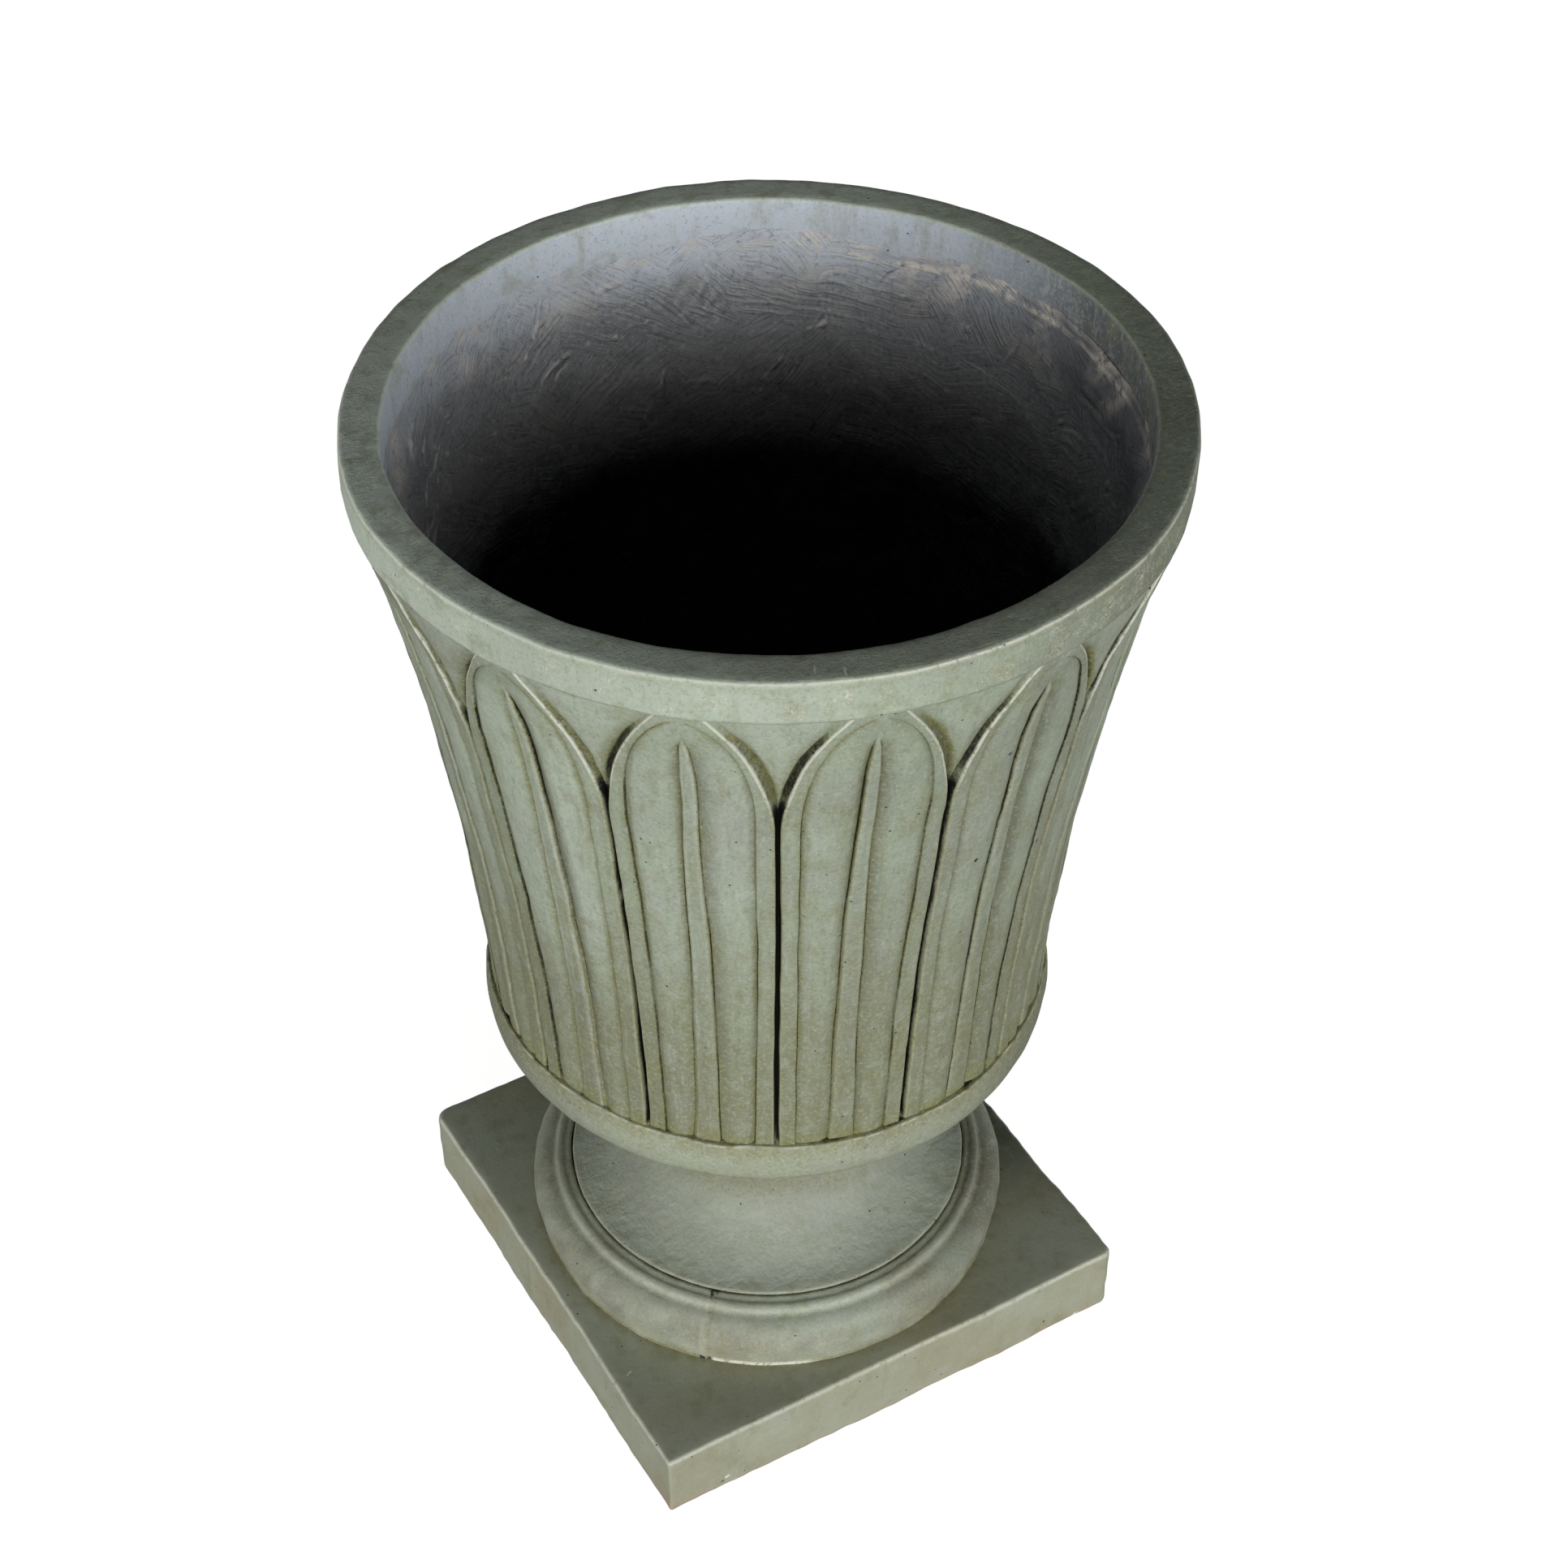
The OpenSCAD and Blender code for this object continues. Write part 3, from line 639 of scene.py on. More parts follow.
blocks = []
for leaf in range(LEAVES):
    joined = [np.concatenate([sign * a[:, :0:-1], b[:, :-1]], axis=1)
              for sign, a, b in zip((-1, 1, 1, 1, 1, 1), leaf_side(leaf, -1), leaf_side(leaf, 1))]
    blocks.append([leaf_middle(leaf) + np.arcsin(joined[0] / face_r(leaf_z)[:, None])] + joined[1:])
leaf_angle, leaf_depth, leaf_wash, leaf_dirt, leaf_wear, leaf_pale = [
    np.concatenate(block, axis=1) for block in zip(*blocks)]
z_grid = np.broadcast_to(leaf_z[:, None], leaf_angle.shape)
even_points = polar(face_r(z_grid), leaf_angle, z_grid)
leaf_r = (face_r(z_grid) + leaf_depth + 0.14 * skin_fine(even_points) + 0.30 * skin_broad(even_points)
          + out_of_round(leaf_angle, z_grid))
# Painted light and shade by side, and painted shade on the lower leaves, most on one side
leaf_pale = leaf_pale + around(leaf_angle, LEAF_LIGHT_AND_SHADE) + around(leaf_angle, LOW_LEAF_SHADE) * ease(430, 320, z_grid)

# Every second point of the leaves' rows goes on into the rows above and below them
foot_angles = np.unwrap(leaf_angle[0, ::2])
top_angles = np.unwrap(leaf_angle[-1, ::2])
row_points = len(top_angles)
even_angles = top_angles[0] + np.arange(row_points) * 2 * math.pi / row_points
rim_noise, rim_broad = Waves(21, 14, 60, 40), Waves(22, 80, 260)
bowl = Skin("wash", "dirt", "wear", "pale", "age", "fleck", "lip")


# One turned row of the bowl, with the cast's unevenness. The shares say how far its points keep to the angles of
# the leaves' tops or feet. A table of painted light and shade, when given, sets how much paler or darker the row
# is painted on each side.
def turned(r, z, share_top=0, share_foot=0, rough=1.0, light_and_shade=None, every=1, **values):
    angle = even_angles + share_top * (top_angles - even_angles) + share_foot * (foot_angles - even_angles)
    angle = angle[::every]
    p = polar(r, angle, z)
    r_now = r + rough * (0.16 * rim_noise(p) + 0.28 * rim_broad(p)) + out_of_round(angle, z)
    if light_and_shade:
        values["pale"] = around(angle, light_and_shade)
    bowl.add(polar(r_now, angle, z + rough * 0.10 * rim_noise(p + 500)), **values)


# From the drain hole out along the underside, up the bead, the leaves and the band, over the rim and the lip,
# and back down the hidden inner face
for r, z in ((DRAIN_R, BOWL_Z), (DRAIN_R + 1, BOWL_Z), (BOSS_R - 1.2, BOWL_Z), (BOSS_R - 0.3, BOWL_Z + 0.4)):
    turned(r, z, rough=0, wash=0.3)
turned(BOSS_R, BOWL_Z + BOSS_H - 0.5, rough=0.3, wash=0.6)
turned(BOSS_R + 0.6, BOWL_Z + BOSS_H, rough=0.3, wash=0.9)
a0 = math.atan2(BOWL_Z + BOSS_H - under_arc[1], BOSS_R - under_arc[0])
a1 = math.atan2(BEAD_Z - under_arc[1], bead_edge_r - under_arc[0])
for t in np.linspace(0.05, 0.985, 10):
    a = a0 + (a1 - a0) * t
    turned(under_arc[0] + UNDER_R * math.cos(a), under_arc[1] + UNDER_R * math.sin(a), 0, 0.4 * t, wash=0.25)
# The bead is painted darker at its sides (painted shade), its upper edge is rubbed with a painted highlight, and
# the crevice under the leaves' feet gets dirt and painted shadow
for i, z in enumerate(np.linspace(BEAD_Z, LEAF_FOOT_Z - 2.2, 8)):
    r = BEAD_R - BEAD_ARC_R + math.sqrt(BEAD_ARC_R**2 - (z - BEAD_Z - BEAD_H / 2) ** 2)
    wash = 0.7 if i == 0 else 0.3 + 0.5 * ease(4, 7, i)
    turned(r, z, 0, 0.4 + 0.6 * i / 7, wash=wash, wear=0.1, light_and_shade=BEAD_LIGHT_AND_SHADE)
at_foot = polar(LEAF_FOOT_R, foot_angles, LEAF_FOOT_Z)
foot_noise = Waves(23, 12, 50)(at_foot)
foot_grain = np.clip(0.4 + 0.5 * Waves(24, 4, 14)(at_foot), 0, 1)
foot_dirt = 0.8 * leaf_dirt[0, ::2]
turned(bead_edge_r + 0.9, LEAF_FOOT_Z - 0.9, 0, 1, wash=0.7, wear=0.6 * foot_grain, rough=2.6, light_and_shade=BEAD_LIGHT_AND_SHADE)
turned(bead_edge_r - 0.2, LEAF_FOOT_Z - 0.35, 0, 1, wash=0.9, dirt=0.45 * (1 - foot_grain), rough=2.0,
       light_and_shade=BEAD_LIGHT_AND_SHADE)
turned(bead_edge_r - 2.0, LEAF_FOOT_Z - 0.5, 0, 1, wash=1.0,
       dirt=np.maximum(foot_dirt, 0.35 + 0.35 * foot_noise))
crevice = np.minimum(leaf_r[0, ::2] - 0.4, bead_edge_r - 2.6)
bowl.add(polar(crevice, foot_angles, LEAF_FOOT_Z - 0.1), wash=1.0,
         dirt=np.maximum(foot_dirt, 0.6 + 0.4 * foot_noise))
for i, points in enumerate(polar(leaf_r, leaf_angle, z_grid)):
    bowl.add(points, wash=leaf_wash[i], dirt=leaf_dirt[i], wear=leaf_wear[i], pale=leaf_pale[i],
             age=0.2 + 0.7 * ease(490, 300, leaf_z[i]))
from_tip = ((top_angles - LEAF_TURN + HALF_PITCH) % (2 * HALF_PITCH) - HALF_PITCH) * LEAF_TOP_R
# Over the spandrels at the band's foot: wash, and dirt with painted shade under the band's edge. Band and rim
# are painted paler or darker by side, and the arris is rubbed with a painted highlight
spandrel = ease(TIP_HALF_W, TIP_HALF_W + 6, np.abs(from_tip))
turned(RIM_R - 0.55, BAND_Z + 0.3, 1.0, wash=0.1 + 0.5 * spandrel, dirt=0.25 * spandrel, light_and_shade=BAND_LIGHT_AND_SHADE)
turned(RIM_R - 0.15, BAND_Z + 1.2, 0.9, wash=0.1 + 0.15 * spandrel, light_and_shade=BAND_LIGHT_AND_SHADE)
for share, up in ((0.75, 2.6), (0.5, 5.5), (0.25, 9.0), (0, 13.0), (0, 17.0)):
    turned(RIM_R, BAND_Z + up, share, wash=0.12, fleck=1, light_and_shade=BAND_LIGHT_AND_SHADE)
turned(RIM_R, URN_H - 3.2, wash=0.3, fleck=0.6, light_and_shade=BAND_LIGHT_AND_SHADE)
turned(RIM_R - 0.1, URN_H - 2.0, wash=0.3, wear=0.12, light_and_shade=BAND_LIGHT_AND_SHADE)
turned(RIM_R - 0.55, URN_H - 0.8, wear=around(even_angles, RIM_WEAR_AND_HIGHLIGHT), light_and_shade=BAND_LIGHT_AND_SHADE)
# The rim's top and the lip are painted paler or darker by side: painted light and shade
turned(RIM_R - 1.2, URN_H - 0.25, wear=0.12, light_and_shade=RIM_LIGHT_AND_SHADE)
for r in (RIM_R - 2.6, RIM_R - 6, RIM_R - 10, LIP_R + 6.5, LIP_R + 2.2):
    turned(r, URN_H + 0.05, light_and_shade=RIM_LIGHT_AND_SHADE)
turned(LIP_R + 0.9, URN_H - 0.25, wear=0.1, light_and_shade=RIM_LIGHT_AND_SHADE)
turned(LIP_R + 0.2, URN_H - 1.0, wear=0.05, lip=0.6, light_and_shade=LIP_LIGHT_AND_SHADE)
for down in (2.4, 6.0, 11.0, 16.0, 20.0, 24.0, 28.0):
    turned(LIP_R - 0.02 * down, URN_H - down, lip=1, light_and_shade=LIP_LIGHT_AND_SHADE)
for z in (598, 560, 500, 430, 380):
    turned(float(face_r(z, SHELL_T)), z, rough=0, every=2)
for t in np.linspace(0.15, 1, 7):
    a = -math.asin((under_arc[1] - SHELL_FLOOR_Z) / (UNDER_R - SHELL_T)) * t
    turned(min(under_arc[0] + (UNDER_R - SHELL_T) * math.cos(a), float(face_r(300, SHELL_T))),
           under_arc[1] + (UNDER_R - SHELL_T) * math.sin(a), rough=0, every=2)
for r in (DRAIN_R + 1, DRAIN_R):
    turned(r, SHELL_FLOOR_Z, rough=0, every=2)
loft("bowl_shell_cast", bowl, "bowl_shell", bowl_paint)

# ---- lining

# How strong the ridge below the coat's edge is, how dark the coat, and how cream its edge
RIDGE = (0.3, 0.2, 0, 0, 0, 0, 0, 0, 0, 0, 0.6, 1, 0.5)
COAT_SHADE = (0, 0.08, 0.3, 0.3, 0, 0, 0, 0, 0, 0.85, 0.85, 0.5, 0)
EDGE_CREAM = (1, 0, 0, 0, 0, 0, 0, 0, 0, 0.5, 1, 1, 1)
ARC_MM = 180  # arc length in mm per radian in the lining's unrolled pattern
SPAN = 2 * math.pi * ARC_MM
PATCHES, STRANDS, PITS = 150, 210, 170
STRAND_STEP = 1.2
STRAND_TOP_Z = 604
rng = np.random.default_rng(31)


# From a place on the unrolled coat to others, the short way round
def short_way(arc, centre):
    return (arc - centre + SPAN / 2) % SPAN - SPAN / 2


# Height of the brush marks at unrolled places: patches of hairs that cross one another
def brush_marks(arc, height):
    out, weight = np.zeros(arc.shape), np.full(arc.shape, 0.15)
    for _ in range(PATCHES):
        centre, middle, size = rng.uniform(0, SPAN), rng.uniform(250, 606), rng.uniform(14, 34)
        way = rng.choice([rng.normal(0.05, 0.15), rng.normal(0.9, 0.35), rng.normal(-0.8, 0.35)])
        da, dh = short_way(arc, centre), height - middle
        near = (np.abs(da) < 2.6 * size) & (np.abs(dh) < 2.6 * size)
        a, h = da[near], dh[near]
        along, across = a * math.cos(way) + h * math.sin(way), h * math.cos(way) - a * math.sin(way)
        across = across + 0.004 * rng.normal() * along**2
        hairs = np.zeros(len(a))
        for _ in range(7):
            length, wander = rng.uniform(3.2, 8.5), rng.uniform(40, 90)
            shift = rng.uniform(0, 2 * math.pi, 2)
            bend = 1.1 * np.sin(along / wander * 6 + shift[1])
            hairs += np.sin(2 * math.pi * across / length + shift[0] + bend)
        share = np.exp(-((a / size) ** 2 + (h / (0.8 * size)) ** 2) * 1.2)
        out[near] += share * hairs * 0.14
        weight[near] += share
    return out / np.sqrt(weight) * 0.9


# Height of the strands that lie in the coat, and the grooves of those that were brushed off
def strand_marks(arc, height):
    out = np.zeros(arc.shape)
    for _ in range(STRANDS):
        centre, middle = rng.uniform(0, SPAN), STRAND_TOP_Z - 150 * rng.random() ** 1.4
        turn, way = rng.normal(0, 0.05), rng.normal(0.2, 0.9)
        length, tall, thick = rng.uniform(12, 46), rng.choice([-1.0, 0.9, 1.15]), rng.uniform(0.85, 1.25)
        steps = int(length / STRAND_STEP)
        x = y = 0.0
        path = []
        for _ in range(steps):
            way += turn + rng.normal(0, 0.09)
            x, y = x + STRAND_STEP * math.cos(way), y + STRAND_STEP * math.sin(way)
            path.append((x, y))
        path = np.array(path)
        da, dh = short_way(arc, centre), height - middle
        reach = length / 2 + 6
        near = (np.abs(da - path[:, 0].mean()) < reach) & (np.abs(dh - path[:, 1].mean()) < reach)
        if near.any():
            d2 = (da[near][:, None] - path[:, 0]) ** 2 + (dh[near][:, None] - path[:, 1]) ** 2
            fade = np.sin(math.pi * (d2.argmin(axis=1) + 0.5) / steps) ** 0.5
            out[near] += tall * fade * np.exp(-d2.min(axis=1) / thick**2)
    return out


# Height of pits and blobs, each with a faint rim
def pit_marks(arc, height):
    out = np.zeros(arc.shape)
    for _ in range(PITS):
        centre, middle = rng.uniform(0, SPAN), STRAND_TOP_Z - abs(rng.normal(0, 60))
        size, tall = rng.uniform(1.0, 2.2), rng.choice([-0.5, 0.4, 0.8])
        d = np.hypot(short_way(arc, centre), height - middle)
        near = d < 4 * size
        out[near] += tall * (bell(d[near], 0, size) - 0.35 * bell(d[near], 1.7 * size, 0.6 * size))
    return out


def lining_radius(z):
    r = face_r(z, SHELL_T + LINING_T)
    low = under_arc[0] + np.sqrt(np.maximum((UNDER_R - SHELL_T - LINING_T) ** 2 - (z - under_arc[1]) ** 2, 0))
    return np.where(z < under_arc[1], np.minimum(r, low), r)


coat_count = 672
coat_z = np.concatenate([
    np.arange(606.2, 520, -1.25),
    np.arange(519.4, 430, -2.6),
    np.arange(428, 262, -9),
    [254, 246, 238, 231, 225, 220, 216, 213, 211, 209.5, 208.4, FLOOR_Z],
])
turns = np.arange(coat_count) * 2 * math.pi / coat_count
coat_angle = VIEW_AZIMUTH + 1.5 * math.pi + turns
coat_grid_z = np.broadcast_to(coat_z[:, None], (len(coat_z), coat_count))
coat_arc = np.broadcast_to(turns * ARC_MM, coat_grid_z.shape)
brushed = brush_marks(coat_arc, coat_grid_z)
strands = strand_marks(coat_arc, coat_grid_z) + pit_marks(coat_arc, coat_grid_z)

coat_wave, coat_swell = Waves(32, 9, 30, 40), Waves(33, 45, 150)
coat_round = lining_radius(coat_grid_z)
coat_points = polar(coat_round, coat_angle, coat_grid_z)
bulge = brushed + strands + 0.28 * coat_wave(coat_points) + 0.75 * coat_swell(coat_points)
bulge = ease(212, 260, coat_grid_z) * bulge
bulge = bulge + (0.55 + 0.5 * coat_swell(coat_points + 400)) * bell(coat_grid_z, 604, 7)
coat_r = coat_round - bulge + out_of_round(coat_angle, coat_grid_z)
flush = LIP_R - 0.7 + out_of_round(coat_angle, coat_grid_z) + 0.25 * coat_wave(coat_points)
coat_r = coat_r + ease(586, 605, coat_grid_z) * (flush - coat_r)
ridge = around(coat_angle, RIDGE)
coat_r = coat_r - (0.25 + 1.1 * ridge) * (0.7 + 0.4 * coat_wave(coat_points)) * bell(coat_grid_z, 601.5, 2.3)

# How far the relief leans towards the light from above and from the side, painted into the coat as light and
# shade
relief = strands + 0.6 * brushed
emboss_shading = 0.8 * np.gradient(relief, axis=0) / -np.gradient(coat_z)[:, None]
emboss_shading = emboss_shading - 0.5 * np.gradient(relief, axis=1) / (SPAN / coat_count)

at_edge = polar(LIP_R, coat_angle, LIP_Z)
edge_up = 1.1 * Waves(34, 45, 150)(at_edge) + 0.3 * Waves(35, 8, 24)(at_edge)
cream_and_highlight = Waves(36, 18, 70)(coat_points) * 0.3
lean = ease(585, 606.2, coat_z)
coat_rings = [polar(LIP_R + out + out_of_round(coat_angle, LIP_Z), coat_angle, LIP_Z + up + edge_up)
              for out, up in ((1.2, -2.5), (0.3, 0.2), (-0.55, 0.1))]
coat_rings.append(polar(coat_r[0] + 0.35, coat_angle, LIP_Z - 1.0 + edge_up))
edge_rings = len(coat_rings)
coat_rings += [polar(coat_r[i], coat_angle, coat_z[i] + lean[i] * edge_up) for i in range(len(coat_z))]
coat_rings += [polar(r, coat_angle, z)
               for r, z in ((30, FLOOR_Z), (DRAIN_R + 0.6, FLOOR_Z), (DRAIN_R, FLOOR_Z - 0.6))]
lining = Skin("arc", "height", "stroke", "wash", "shade")
for i, points in enumerate(coat_rings):
    row = min(max(i - edge_rings, 0), len(coat_z) - 1)
    z = coat_z[row]
    # Cream at the coat's edge and on the ridge, and cream patches below that are partly painted highlights;
    # painted shade by side, less of it lower down
    wash = 0.5 * bell(i, edge_rings - 1, 1.5) * (0.6 + 0.4 * around(coat_angle, EDGE_CREAM))
    wash = wash + (0.3 + 0.7 * ridge) * bell(z, 601.5, 1.8) + 0.8 * ease(560, 600, z) * cream_and_highlight[row]
    lining.add(points, arc=coat_arc[row], height=points[:, 2], wash=np.clip(wash, 0, 1),
               stroke=emboss_shading[row] * (i >= edge_rings),
               shade=around(coat_angle, COAT_SHADE) * (0.35 + 0.65 * ease(545, 590, z)))
for r, z in [(r, SHELL_FLOOR_Z + 0.1) for r in (DRAIN_R, 60, 74)] + [(130, 232), (141, 262), (150, 330)] + [
        (float(face_r(z, SHELL_T)), z) for z in (400, 500, 598)]:
    lining.add(polar(r, coat_angle[::8], z))
loft("bowl_lining_coat", lining, "bowl_lining", lining_coat)

# ---- stem, foot ring


# Points of an arc in the plane of radius and height, between two angles in degrees
def arc_points(x, z, radius, start, end, count):
    a = np.radians(np.linspace(start, end, count))
    return [(x + radius * math.cos(t), z + radius * math.sin(t)) for t in a]


# A turned casting: its section goes round once. The section is in parts, each with how uneven it is.
def turned_piece(name, section, count, seed, node, material, shade, seam=None):
    small, broad = Waves(seed, 12, 45, 36), Waves(seed + 1, 70, 200)
    angle = np.arange(count) * 2 * math.pi / count
    skin = Skin("wash", "dirt", "wear", "pale")
    for rough, points in section:
        for r, z in points:
            p = polar(r, angle, z)
            shift = rough * 0.3 * (0.6 * small(p) + broad(p))
            if seam:
                shift = shift + rough * seam(angle)
            skin.add(polar(r + shift, angle, z + 0.4 * shift), **shade(r=r, z=z, angle=angle, noise=small(p)))
    loft(name, skin, node, material)


# Painted light and shade on each side of the stem
STEM_LIGHT_AND_SHADE = (0, 0, 0, -0.3, -0.35, -0.18, 0, 0.12, 0, 0, 0, 0, 0)
scotia_x = NECK_R + SCOTIA_R
neck_z = STEM_FOOT_Z + math.sqrt(SCOTIA_R**2 - (scotia_x - STEM_FOOT_R) ** 2)
stem_bore_r = STEM_FOOT_R - STEM_WALL
collar_z = STEM_TOP_Z - COLLAR_H
scotia_start = math.degrees(math.pi - math.asin((collar_z - neck_z) / SCOTIA_R))
scotia_end = 180 + math.degrees(math.asin((neck_z - STEM_FOOT_Z) / SCOTIA_R)) - 1.2
bore_arc = SCOTIA_R + STEM_WALL
bore_start = 180 + math.degrees(math.acos((scotia_x - stem_bore_r) / bore_arc))
stem_section = (
    (0, [(NECK_R - STEM_WALL, STEM_TOP_Z), (60, STEM_TOP_Z), (COLLAR_R - 1, STEM_TOP_Z)]),
    (0.5, [(COLLAR_R, STEM_TOP_Z - 0.8), (COLLAR_R, collar_z + 1), (COLLAR_R - 1, collar_z + 0.1)]),
    (1, arc_points(scotia_x, neck_z, SCOTIA_R, scotia_start, scotia_end, 56)),
    (0.4, [(STEM_FOOT_R - 0.15, STEM_FOOT_Z - 0.25), (STEM_FOOT_R, STEM_FOOT_Z - 0.9),
           (STEM_FOOT_R, STEM_FOOT_Z - 2.5)]),
    (0, [(STEM_FOOT_R, STEM_SIDE_Z), (STEM_FOOT_R, STEM_Z), (stem_bore_r, STEM_Z)]),
    (0, arc_points(scotia_x, neck_z, bore_arc, bore_start, 180, 14)),
)


# Painted shade and more wash up to the neck, more wash and a paler band at the foot, one pale streak, painted
# light and shade by side, and dirt with painted shadow inside the ring
def stem_shade(z, angle, **_):
    up = z - STEM_FOOT_Z
    high = ease(22, 50, up) * (1 - 0.6 * ease(54, 76, up))
    streak = (angle - VIEW_AZIMUTH + math.pi / 2 + math.radians(14)) * NECK_R
    pale = 0.25 * bell(up, 0, 9) - 1.0 * high + 0.7 * bell(streak, 0, 1.4) * bell(z, 126, 12)
    return {"wash": 0.2 + 0.6 * high + 0.5 * ease(1, -0.8, up), "dirt": 0.5 * ease(-0.9, -2.2, up),
            "pale": pale + around(angle, STEM_LIGHT_AND_SHADE) * bell(z, 120, 30)}


turned_piece("stem_cast", stem_section, 360, 41, "stem", stem_paint, stem_shade)

# Painted light and shade on each side of the ring, and painted light on the top of its torus towards the viewed
# side
RING_LIGHT_AND_SHADE = (0, 0, 0, -0.3, -0.12, -0.12, -0.1, 0.05, -0.42, -0.5, 0, 0, 0)
RING_TOP_LIGHT = (0, 0, 0, 0, 0.2, 0.9, 1, 1, 0.5, 0, 0, 0, 0)
MOULD_SEAM = math.radians(-135.5)
shoulder_x = RING_R - SHOULDER_R
bead_x, bead_z = RING_BORE_R + RING_BEAD_R, SHOULDER_Z + SHOULDER_R
ring_foot_r = RING_R - RING_DRAW_IN


# Distance from the mould's seam along the ring
def off_seam(angle):
    return ((angle - MOULD_SEAM + math.pi) % (2 * math.pi) - math.pi) * RING_R


def mould_seam(angle):
    return 0.7 * bell(off_seam(angle), 0, 1.6) - 0.6 * bell(off_seam(angle), 3.5, 2.6)


ring_section = (
    (0, [(RING_BORE_R, PLINTH_H), (RING_BORE_R, RING_BORE_TOP_Z)]),
    (0.4, [(RING_BORE_R - 0.9, RING_LIP_Z - 1.4), (RING_BORE_R - 0.85, RING_LIP_Z),
           (RING_BORE_R + 0.2, RING_LIP_Z + 0.3), (RING_BORE_R + 1.4, RING_LIP_Z)]),
    (0.7, arc_points(bead_x, bead_z, RING_BEAD_R, 108, 22, 9)),
    (0.9, [(bead_x + RING_BEAD_R + 0.15, bead_z + 0.7), (bead_x + RING_BEAD_R + 0.9, bead_z + 0.05)]),
    (1, arc_points(shoulder_x, SHOULDER_Z, SHOULDER_R, 76, 0, 26)),
    (1, [(RING_R - 0.7, SHOULDER_Z - 4), (RING_R - 1.6, SHOULDER_Z - 9), (RING_R - 2.8, PLINTH_H + 3),
         (ring_foot_r + 0.3, PLINTH_H + 1.1), (ring_foot_r + 0.9, PLINTH_H + 0.4),
         (ring_foot_r + 1.0, PLINTH_H)]),
    (0, [(RING_R - 8, PLINTH_H), (RING_UNDERSIDE_R, PLINTH_H)]),
)


# Washed at its foot, in its groove, against the stem and beside the mould's seam, dirty by the seam, with dirt
# and painted shadow against the stem; rubbed at its foot and on the seam, the bead's line partly a painted
# highlight; painted light on the torus's top and painted light and shade by side
def ring_shade(r, z, angle, noise):
    off = off_seam(angle)
    inside = ease(bead_x - 1.5, RING_BORE_R, r) * ease(RING_BORE_TOP_Z, bead_z, z)
    groove = bell(math.hypot(r - bead_x - RING_BEAD_R - 0.5, z - bead_z - 0.2), 0, 1.6)
    foot = ease(PLINTH_H + 3.6, PLINTH_H + 0.6, z)
    wash = 0.2 + 0.1 * inside + 0.1 * groove + foot * (0.8 + 0.4 * np.sin(2 * angle + 1))
    wash = wash + 0.6 * bell(off, 2.5, 1.4)
    dirt = 0.5 * ease(RING_BORE_R - 0.3, RING_BORE_R - 0.85, r) + 0.8 * bell(off, 3.5, 2.2) * (foot + inside)
    wear = 0.12 * bell(r, bead_x + 3.6, 0.8) * ease(bead_z, bead_z + 2, z) + 0.5 * bell(off, 0, 1.0)
    wear = wear + foot * ease(1, 6, off) * ease(75, 55, off)
    pale = 0.12 * noise * ease(bead_z, SHOULDER_Z, z) - 0.2 * ease(60, 150, off) * ease(330, 250, off)
    pale = pale + 0.45 * ease(SHOULDER_Z + 4, SHOULDER_Z + 13, z) * around(angle, RING_TOP_LIGHT)
    return {"wash": np.clip(wash, 0, 1), "dirt": dirt, "wear": wear, "pale": pale + around(angle, RING_LIGHT_AND_SHADE)}


turned_piece("foot_ring_cast", ring_section, 400, 51, "foot_ring", ring_paint, ring_shade, mould_seam)

# ---- plinth

plinth_fine, plinth_broad = Waves(61, 8, 30, 40), Waves(62, 60, 200)
half_w = PLINTH_W / 2
SIDE_POINTS, CORNER_POINTS = 72, 9
CORNERS = (5.0, 5.5, 6.5, 1.6)


# Outline of a rounded square as points, the same share of it for the same index; corner radii in order
def square_outline(half, radii):
    corners = []
    for k, radius in enumerate(radii):
        cx, cy = (half - radius) * (1 if k in (0, 1) else -1), (half - radius) * (1 if k in (1, 2) else -1)
        corners.append(np.array(arc_points(cx, cy, radius, 90 * k - 90, 90 * k, CORNER_POINTS)))
    out = []
    steps = np.linspace(0, 1, SIDE_POINTS - CORNER_POINTS + 2)[1:-1, None]
    for k in range(4):
        a, b = corners[k][-1], corners[(k + 1) % 4][0]
        out += [corners[k], a + (b - a) * steps]
    return np.concatenate(out)


flat_outline = square_outline(half_w, CORNERS)
inner_outline = square_outline(half_w - PLINTH_WALL, (4, 4, 4, 4))
outline_angle = np.unwrap(np.arctan2(flat_outline[:, 1], flat_outline[:, 0]))
hole = polar(DRAIN_WAY_R, outline_angle, 0)[:, :2]
right_side = ease(half_w - 8, half_w - 2, -flat_outline[:, 1])
plinth = Skin("wash", "dirt", "wear", "raw", "pale")


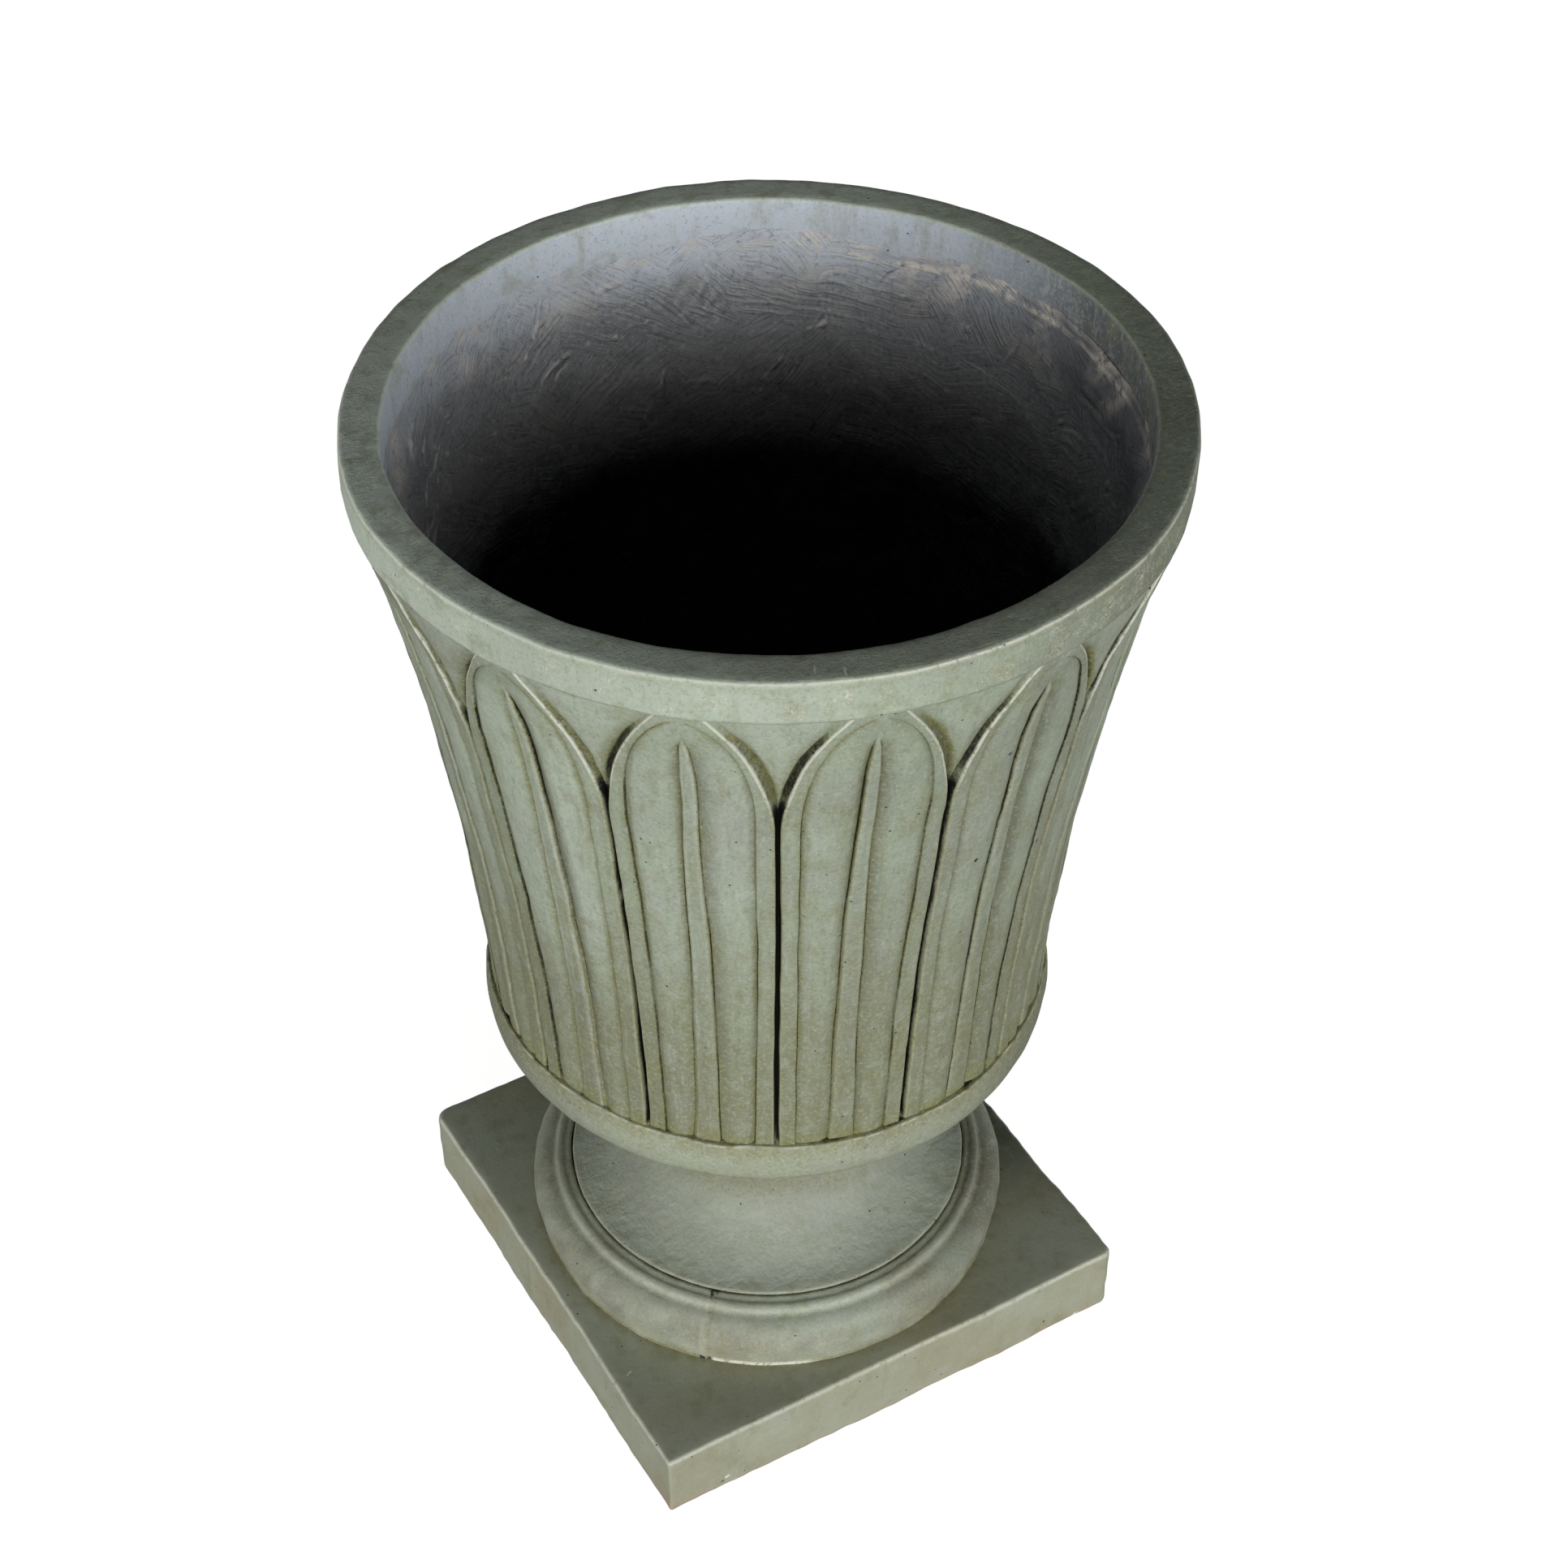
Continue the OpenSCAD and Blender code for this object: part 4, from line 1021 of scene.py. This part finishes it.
# One ring of the plinth: places across and height, with the cast's unevenness and what the paint has there,
# painted light and shade on its top included
def plinth_ring(xy, z, rough=0, wash=0, wear=0, raw=0):
    p = np.concatenate([xy, np.full((len(xy), 1), z)], axis=1)
    shift = rough * (0.22 * plinth_fine(p) + 0.5 * plinth_broad(p))
    p[:, :2] += xy / np.linalg.norm(xy, axis=1)[:, None] * shift[:, None]
    p[:, 2] += 0.35 * shift * (z > 1)
    x, y, up = p.T
    # Painted light and shade on the top: paler in two places, darker at the back right, where the bowl shades
    # it, and at the front corner
    light_and_shade = 0.35 * bell(x, -150, 50) + 0.35 * bell(np.hypot(x - 130, y + 140), 0, 45)
    light_and_shade = light_and_shade - 1.0 * ease(-110, -30, y) * ease(40, 110, x) - 0.25 * bell(x + y, -250, 50)
    corner = bell(np.linalg.norm(p - (-half_w, -half_w, 2), axis=1), 0, 22) * ease(9, 4, up)
    plinth.add(p, wash=wash, wear=wear, raw=np.maximum(raw, 0.9 * corner),
               pale=np.where(up > PLINTH_H - 1, light_and_shade, 0))


def inset_outline(by):
    return flat_outline * ((half_w - by) / half_w)


# From the drain way over the top, down the sides and back under the deck
plinth_ring(hole, PLINTH_DECK + 8)
plinth_ring(hole, PLINTH_H)
for t in np.linspace(0.2, 0.96, 16):
    mid = hole + (inset_outline(2.2) - hole) * t
    gap = np.linalg.norm(mid, axis=1) - ring_foot_r
    plinth_ring(mid, PLINTH_H - 0.02, ease(0.45, 0.6, t) * 0.5, wash=0.9 * bell(gap, 0, 4))
for by, down, wear in ((2.2, 0.02, 0.05), (1.2, 0.2, 0.4), (0.45, 0.7, 0.65), (0.08, 1.5, 0.45)):
    plinth_ring(inset_outline(by), PLINTH_H - down, 0.8, wear=wear)
for z in np.linspace(PLINTH_H - 4, 5, 9):
    plinth_ring(flat_outline, z, 1, wash=0.12)
for by, z, raw in ((0.0, 3.0, 0.35), (0.25, 1.4, 0.8), (0.9, 0.5, 1.0), (2.0, 0.0, 1.0)):
    plinth_ring(inset_outline(by), z, 1, raw=raw * (0.25 + 0.75 * right_side))
plinth_ring(inner_outline + (inset_outline(2) - inner_outline) * 0.5, 0)
for share, z in ((1, 0), (1, 2), (1, PLINTH_H - PLINTH_DECK), (0.6, PLINTH_H - PLINTH_DECK)):
    plinth_ring(inner_outline * share, z)
loft("plinth_cast", plinth, "plinth", plinth_paint)

# The pieces that keep their CAD meshes
for name, paint in (("drain_plug", rubber), ("stem_bed", mortar), ("bowl_bed", mortar)):
    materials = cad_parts[name].data.materials
    materials.clear()
    materials.append(paint)

# ---- floor, light, camera

bpy.ops.mesh.primitive_plane_add(size=120, location=(0, 0, 0))
floor = bpy.context.object
floor.name = "floor"
floor_paint = bpy.data.materials.new("floor_paint")
floor_paint.use_nodes = True
Nodes(floor_paint.node_tree).put(floor_paint.node_tree.nodes["Principled BSDF"], {
    "Base Color": (0.85, 0.85, 0.85, 1), "Roughness": 0.9,
    "Emission Color": (1, 1, 1, 1), "Emission Strength": 0.9})
floor.data.materials.append(floor_paint)
floor.visible_diffuse = floor.visible_glossy = floor.visible_shadow = False  # it glows, but lights nothing

scene = bpy.context.scene
scene.view_settings.view_transform = "Standard"
scene.world = bpy.data.worlds.new("studio")
scene.world.use_nodes = True
studio = Nodes(scene.world.node_tree)
direction = studio.node("TexCoord").outputs["Generated"]
upward = studio.node("SeparateXYZ", {0: direction}).outputs[2]


# Soft light from a patch of the surroundings: the sines of elevation where it rises and where it fades
def light_patch(azimuth, narrowness, rise, fade, strength):
    a = VIEW_AZIMUTH + math.radians(azimuth)
    facing = studio.vector("DOT_PRODUCT", direction, (math.sin(a), -math.cos(a), 0))
    sideways = studio.math("POWER", studio.math("MULTIPLY_ADD", facing, 0.5, 0.5), narrowness)
    return studio.times(sideways, studio.step(upward, *rise), studio.step(upward, *fade), strength)


light = light_patch(-3, 2.0, (-0.25, 0.14), (0.35, 0.18), 4.7)
for patch in (light_patch(32, 4.0, (0.08, 0.20), (0.42, 0.26), 1.5),
              light_patch(180, 5.0, (-0.75, -0.35), (0.12, -0.06), 1.6),
              studio.times(studio.step(upward, 0.93, 0.985), 0.26)):
    light = studio.math("ADD", light, patch)
studio.put(studio.tree.nodes["Background"], {"Color": (1, 1, 1, 1), "Strength": light})

# The camera that was fitted to the photo
CAMERA_AZIMUTH, CAMERA_ELEVATION, CAMERA_ROLL = map(math.radians, (-30.366, 42.682, 0.215))
CAMERA_PLACE = (-0.61370, -1.06586, 1.51431)
FOCAL_PIXELS, FRAME_PIXELS, SENSOR_MM = 3797, 1932, 36
away = Vector((math.sin(CAMERA_AZIMUTH) * math.cos(CAMERA_ELEVATION),
               -math.cos(CAMERA_AZIMUTH) * math.cos(CAMERA_ELEVATION), math.sin(CAMERA_ELEVATION)))
right = Vector((math.cos(CAMERA_AZIMUTH), math.sin(CAMERA_AZIMUTH), 0))
up = away.cross(right)
camera_x = math.cos(CAMERA_ROLL) * right + math.sin(CAMERA_ROLL) * up
camera_y = -math.sin(CAMERA_ROLL) * right + math.cos(CAMERA_ROLL) * up
pose = Matrix((camera_x, camera_y, away)).transposed().to_4x4()
pose.translation = Vector(CAMERA_PLACE)
camera_data = bpy.data.cameras.new("camera")
camera_data.sensor_width = SENSOR_MM
camera_data.lens = FOCAL_PIXELS / FRAME_PIXELS * SENSOR_MM
camera = bpy.data.objects.new("camera", camera_data)
scene.collection.objects.link(camera)
camera.matrix_world = pose
scene.camera = camera
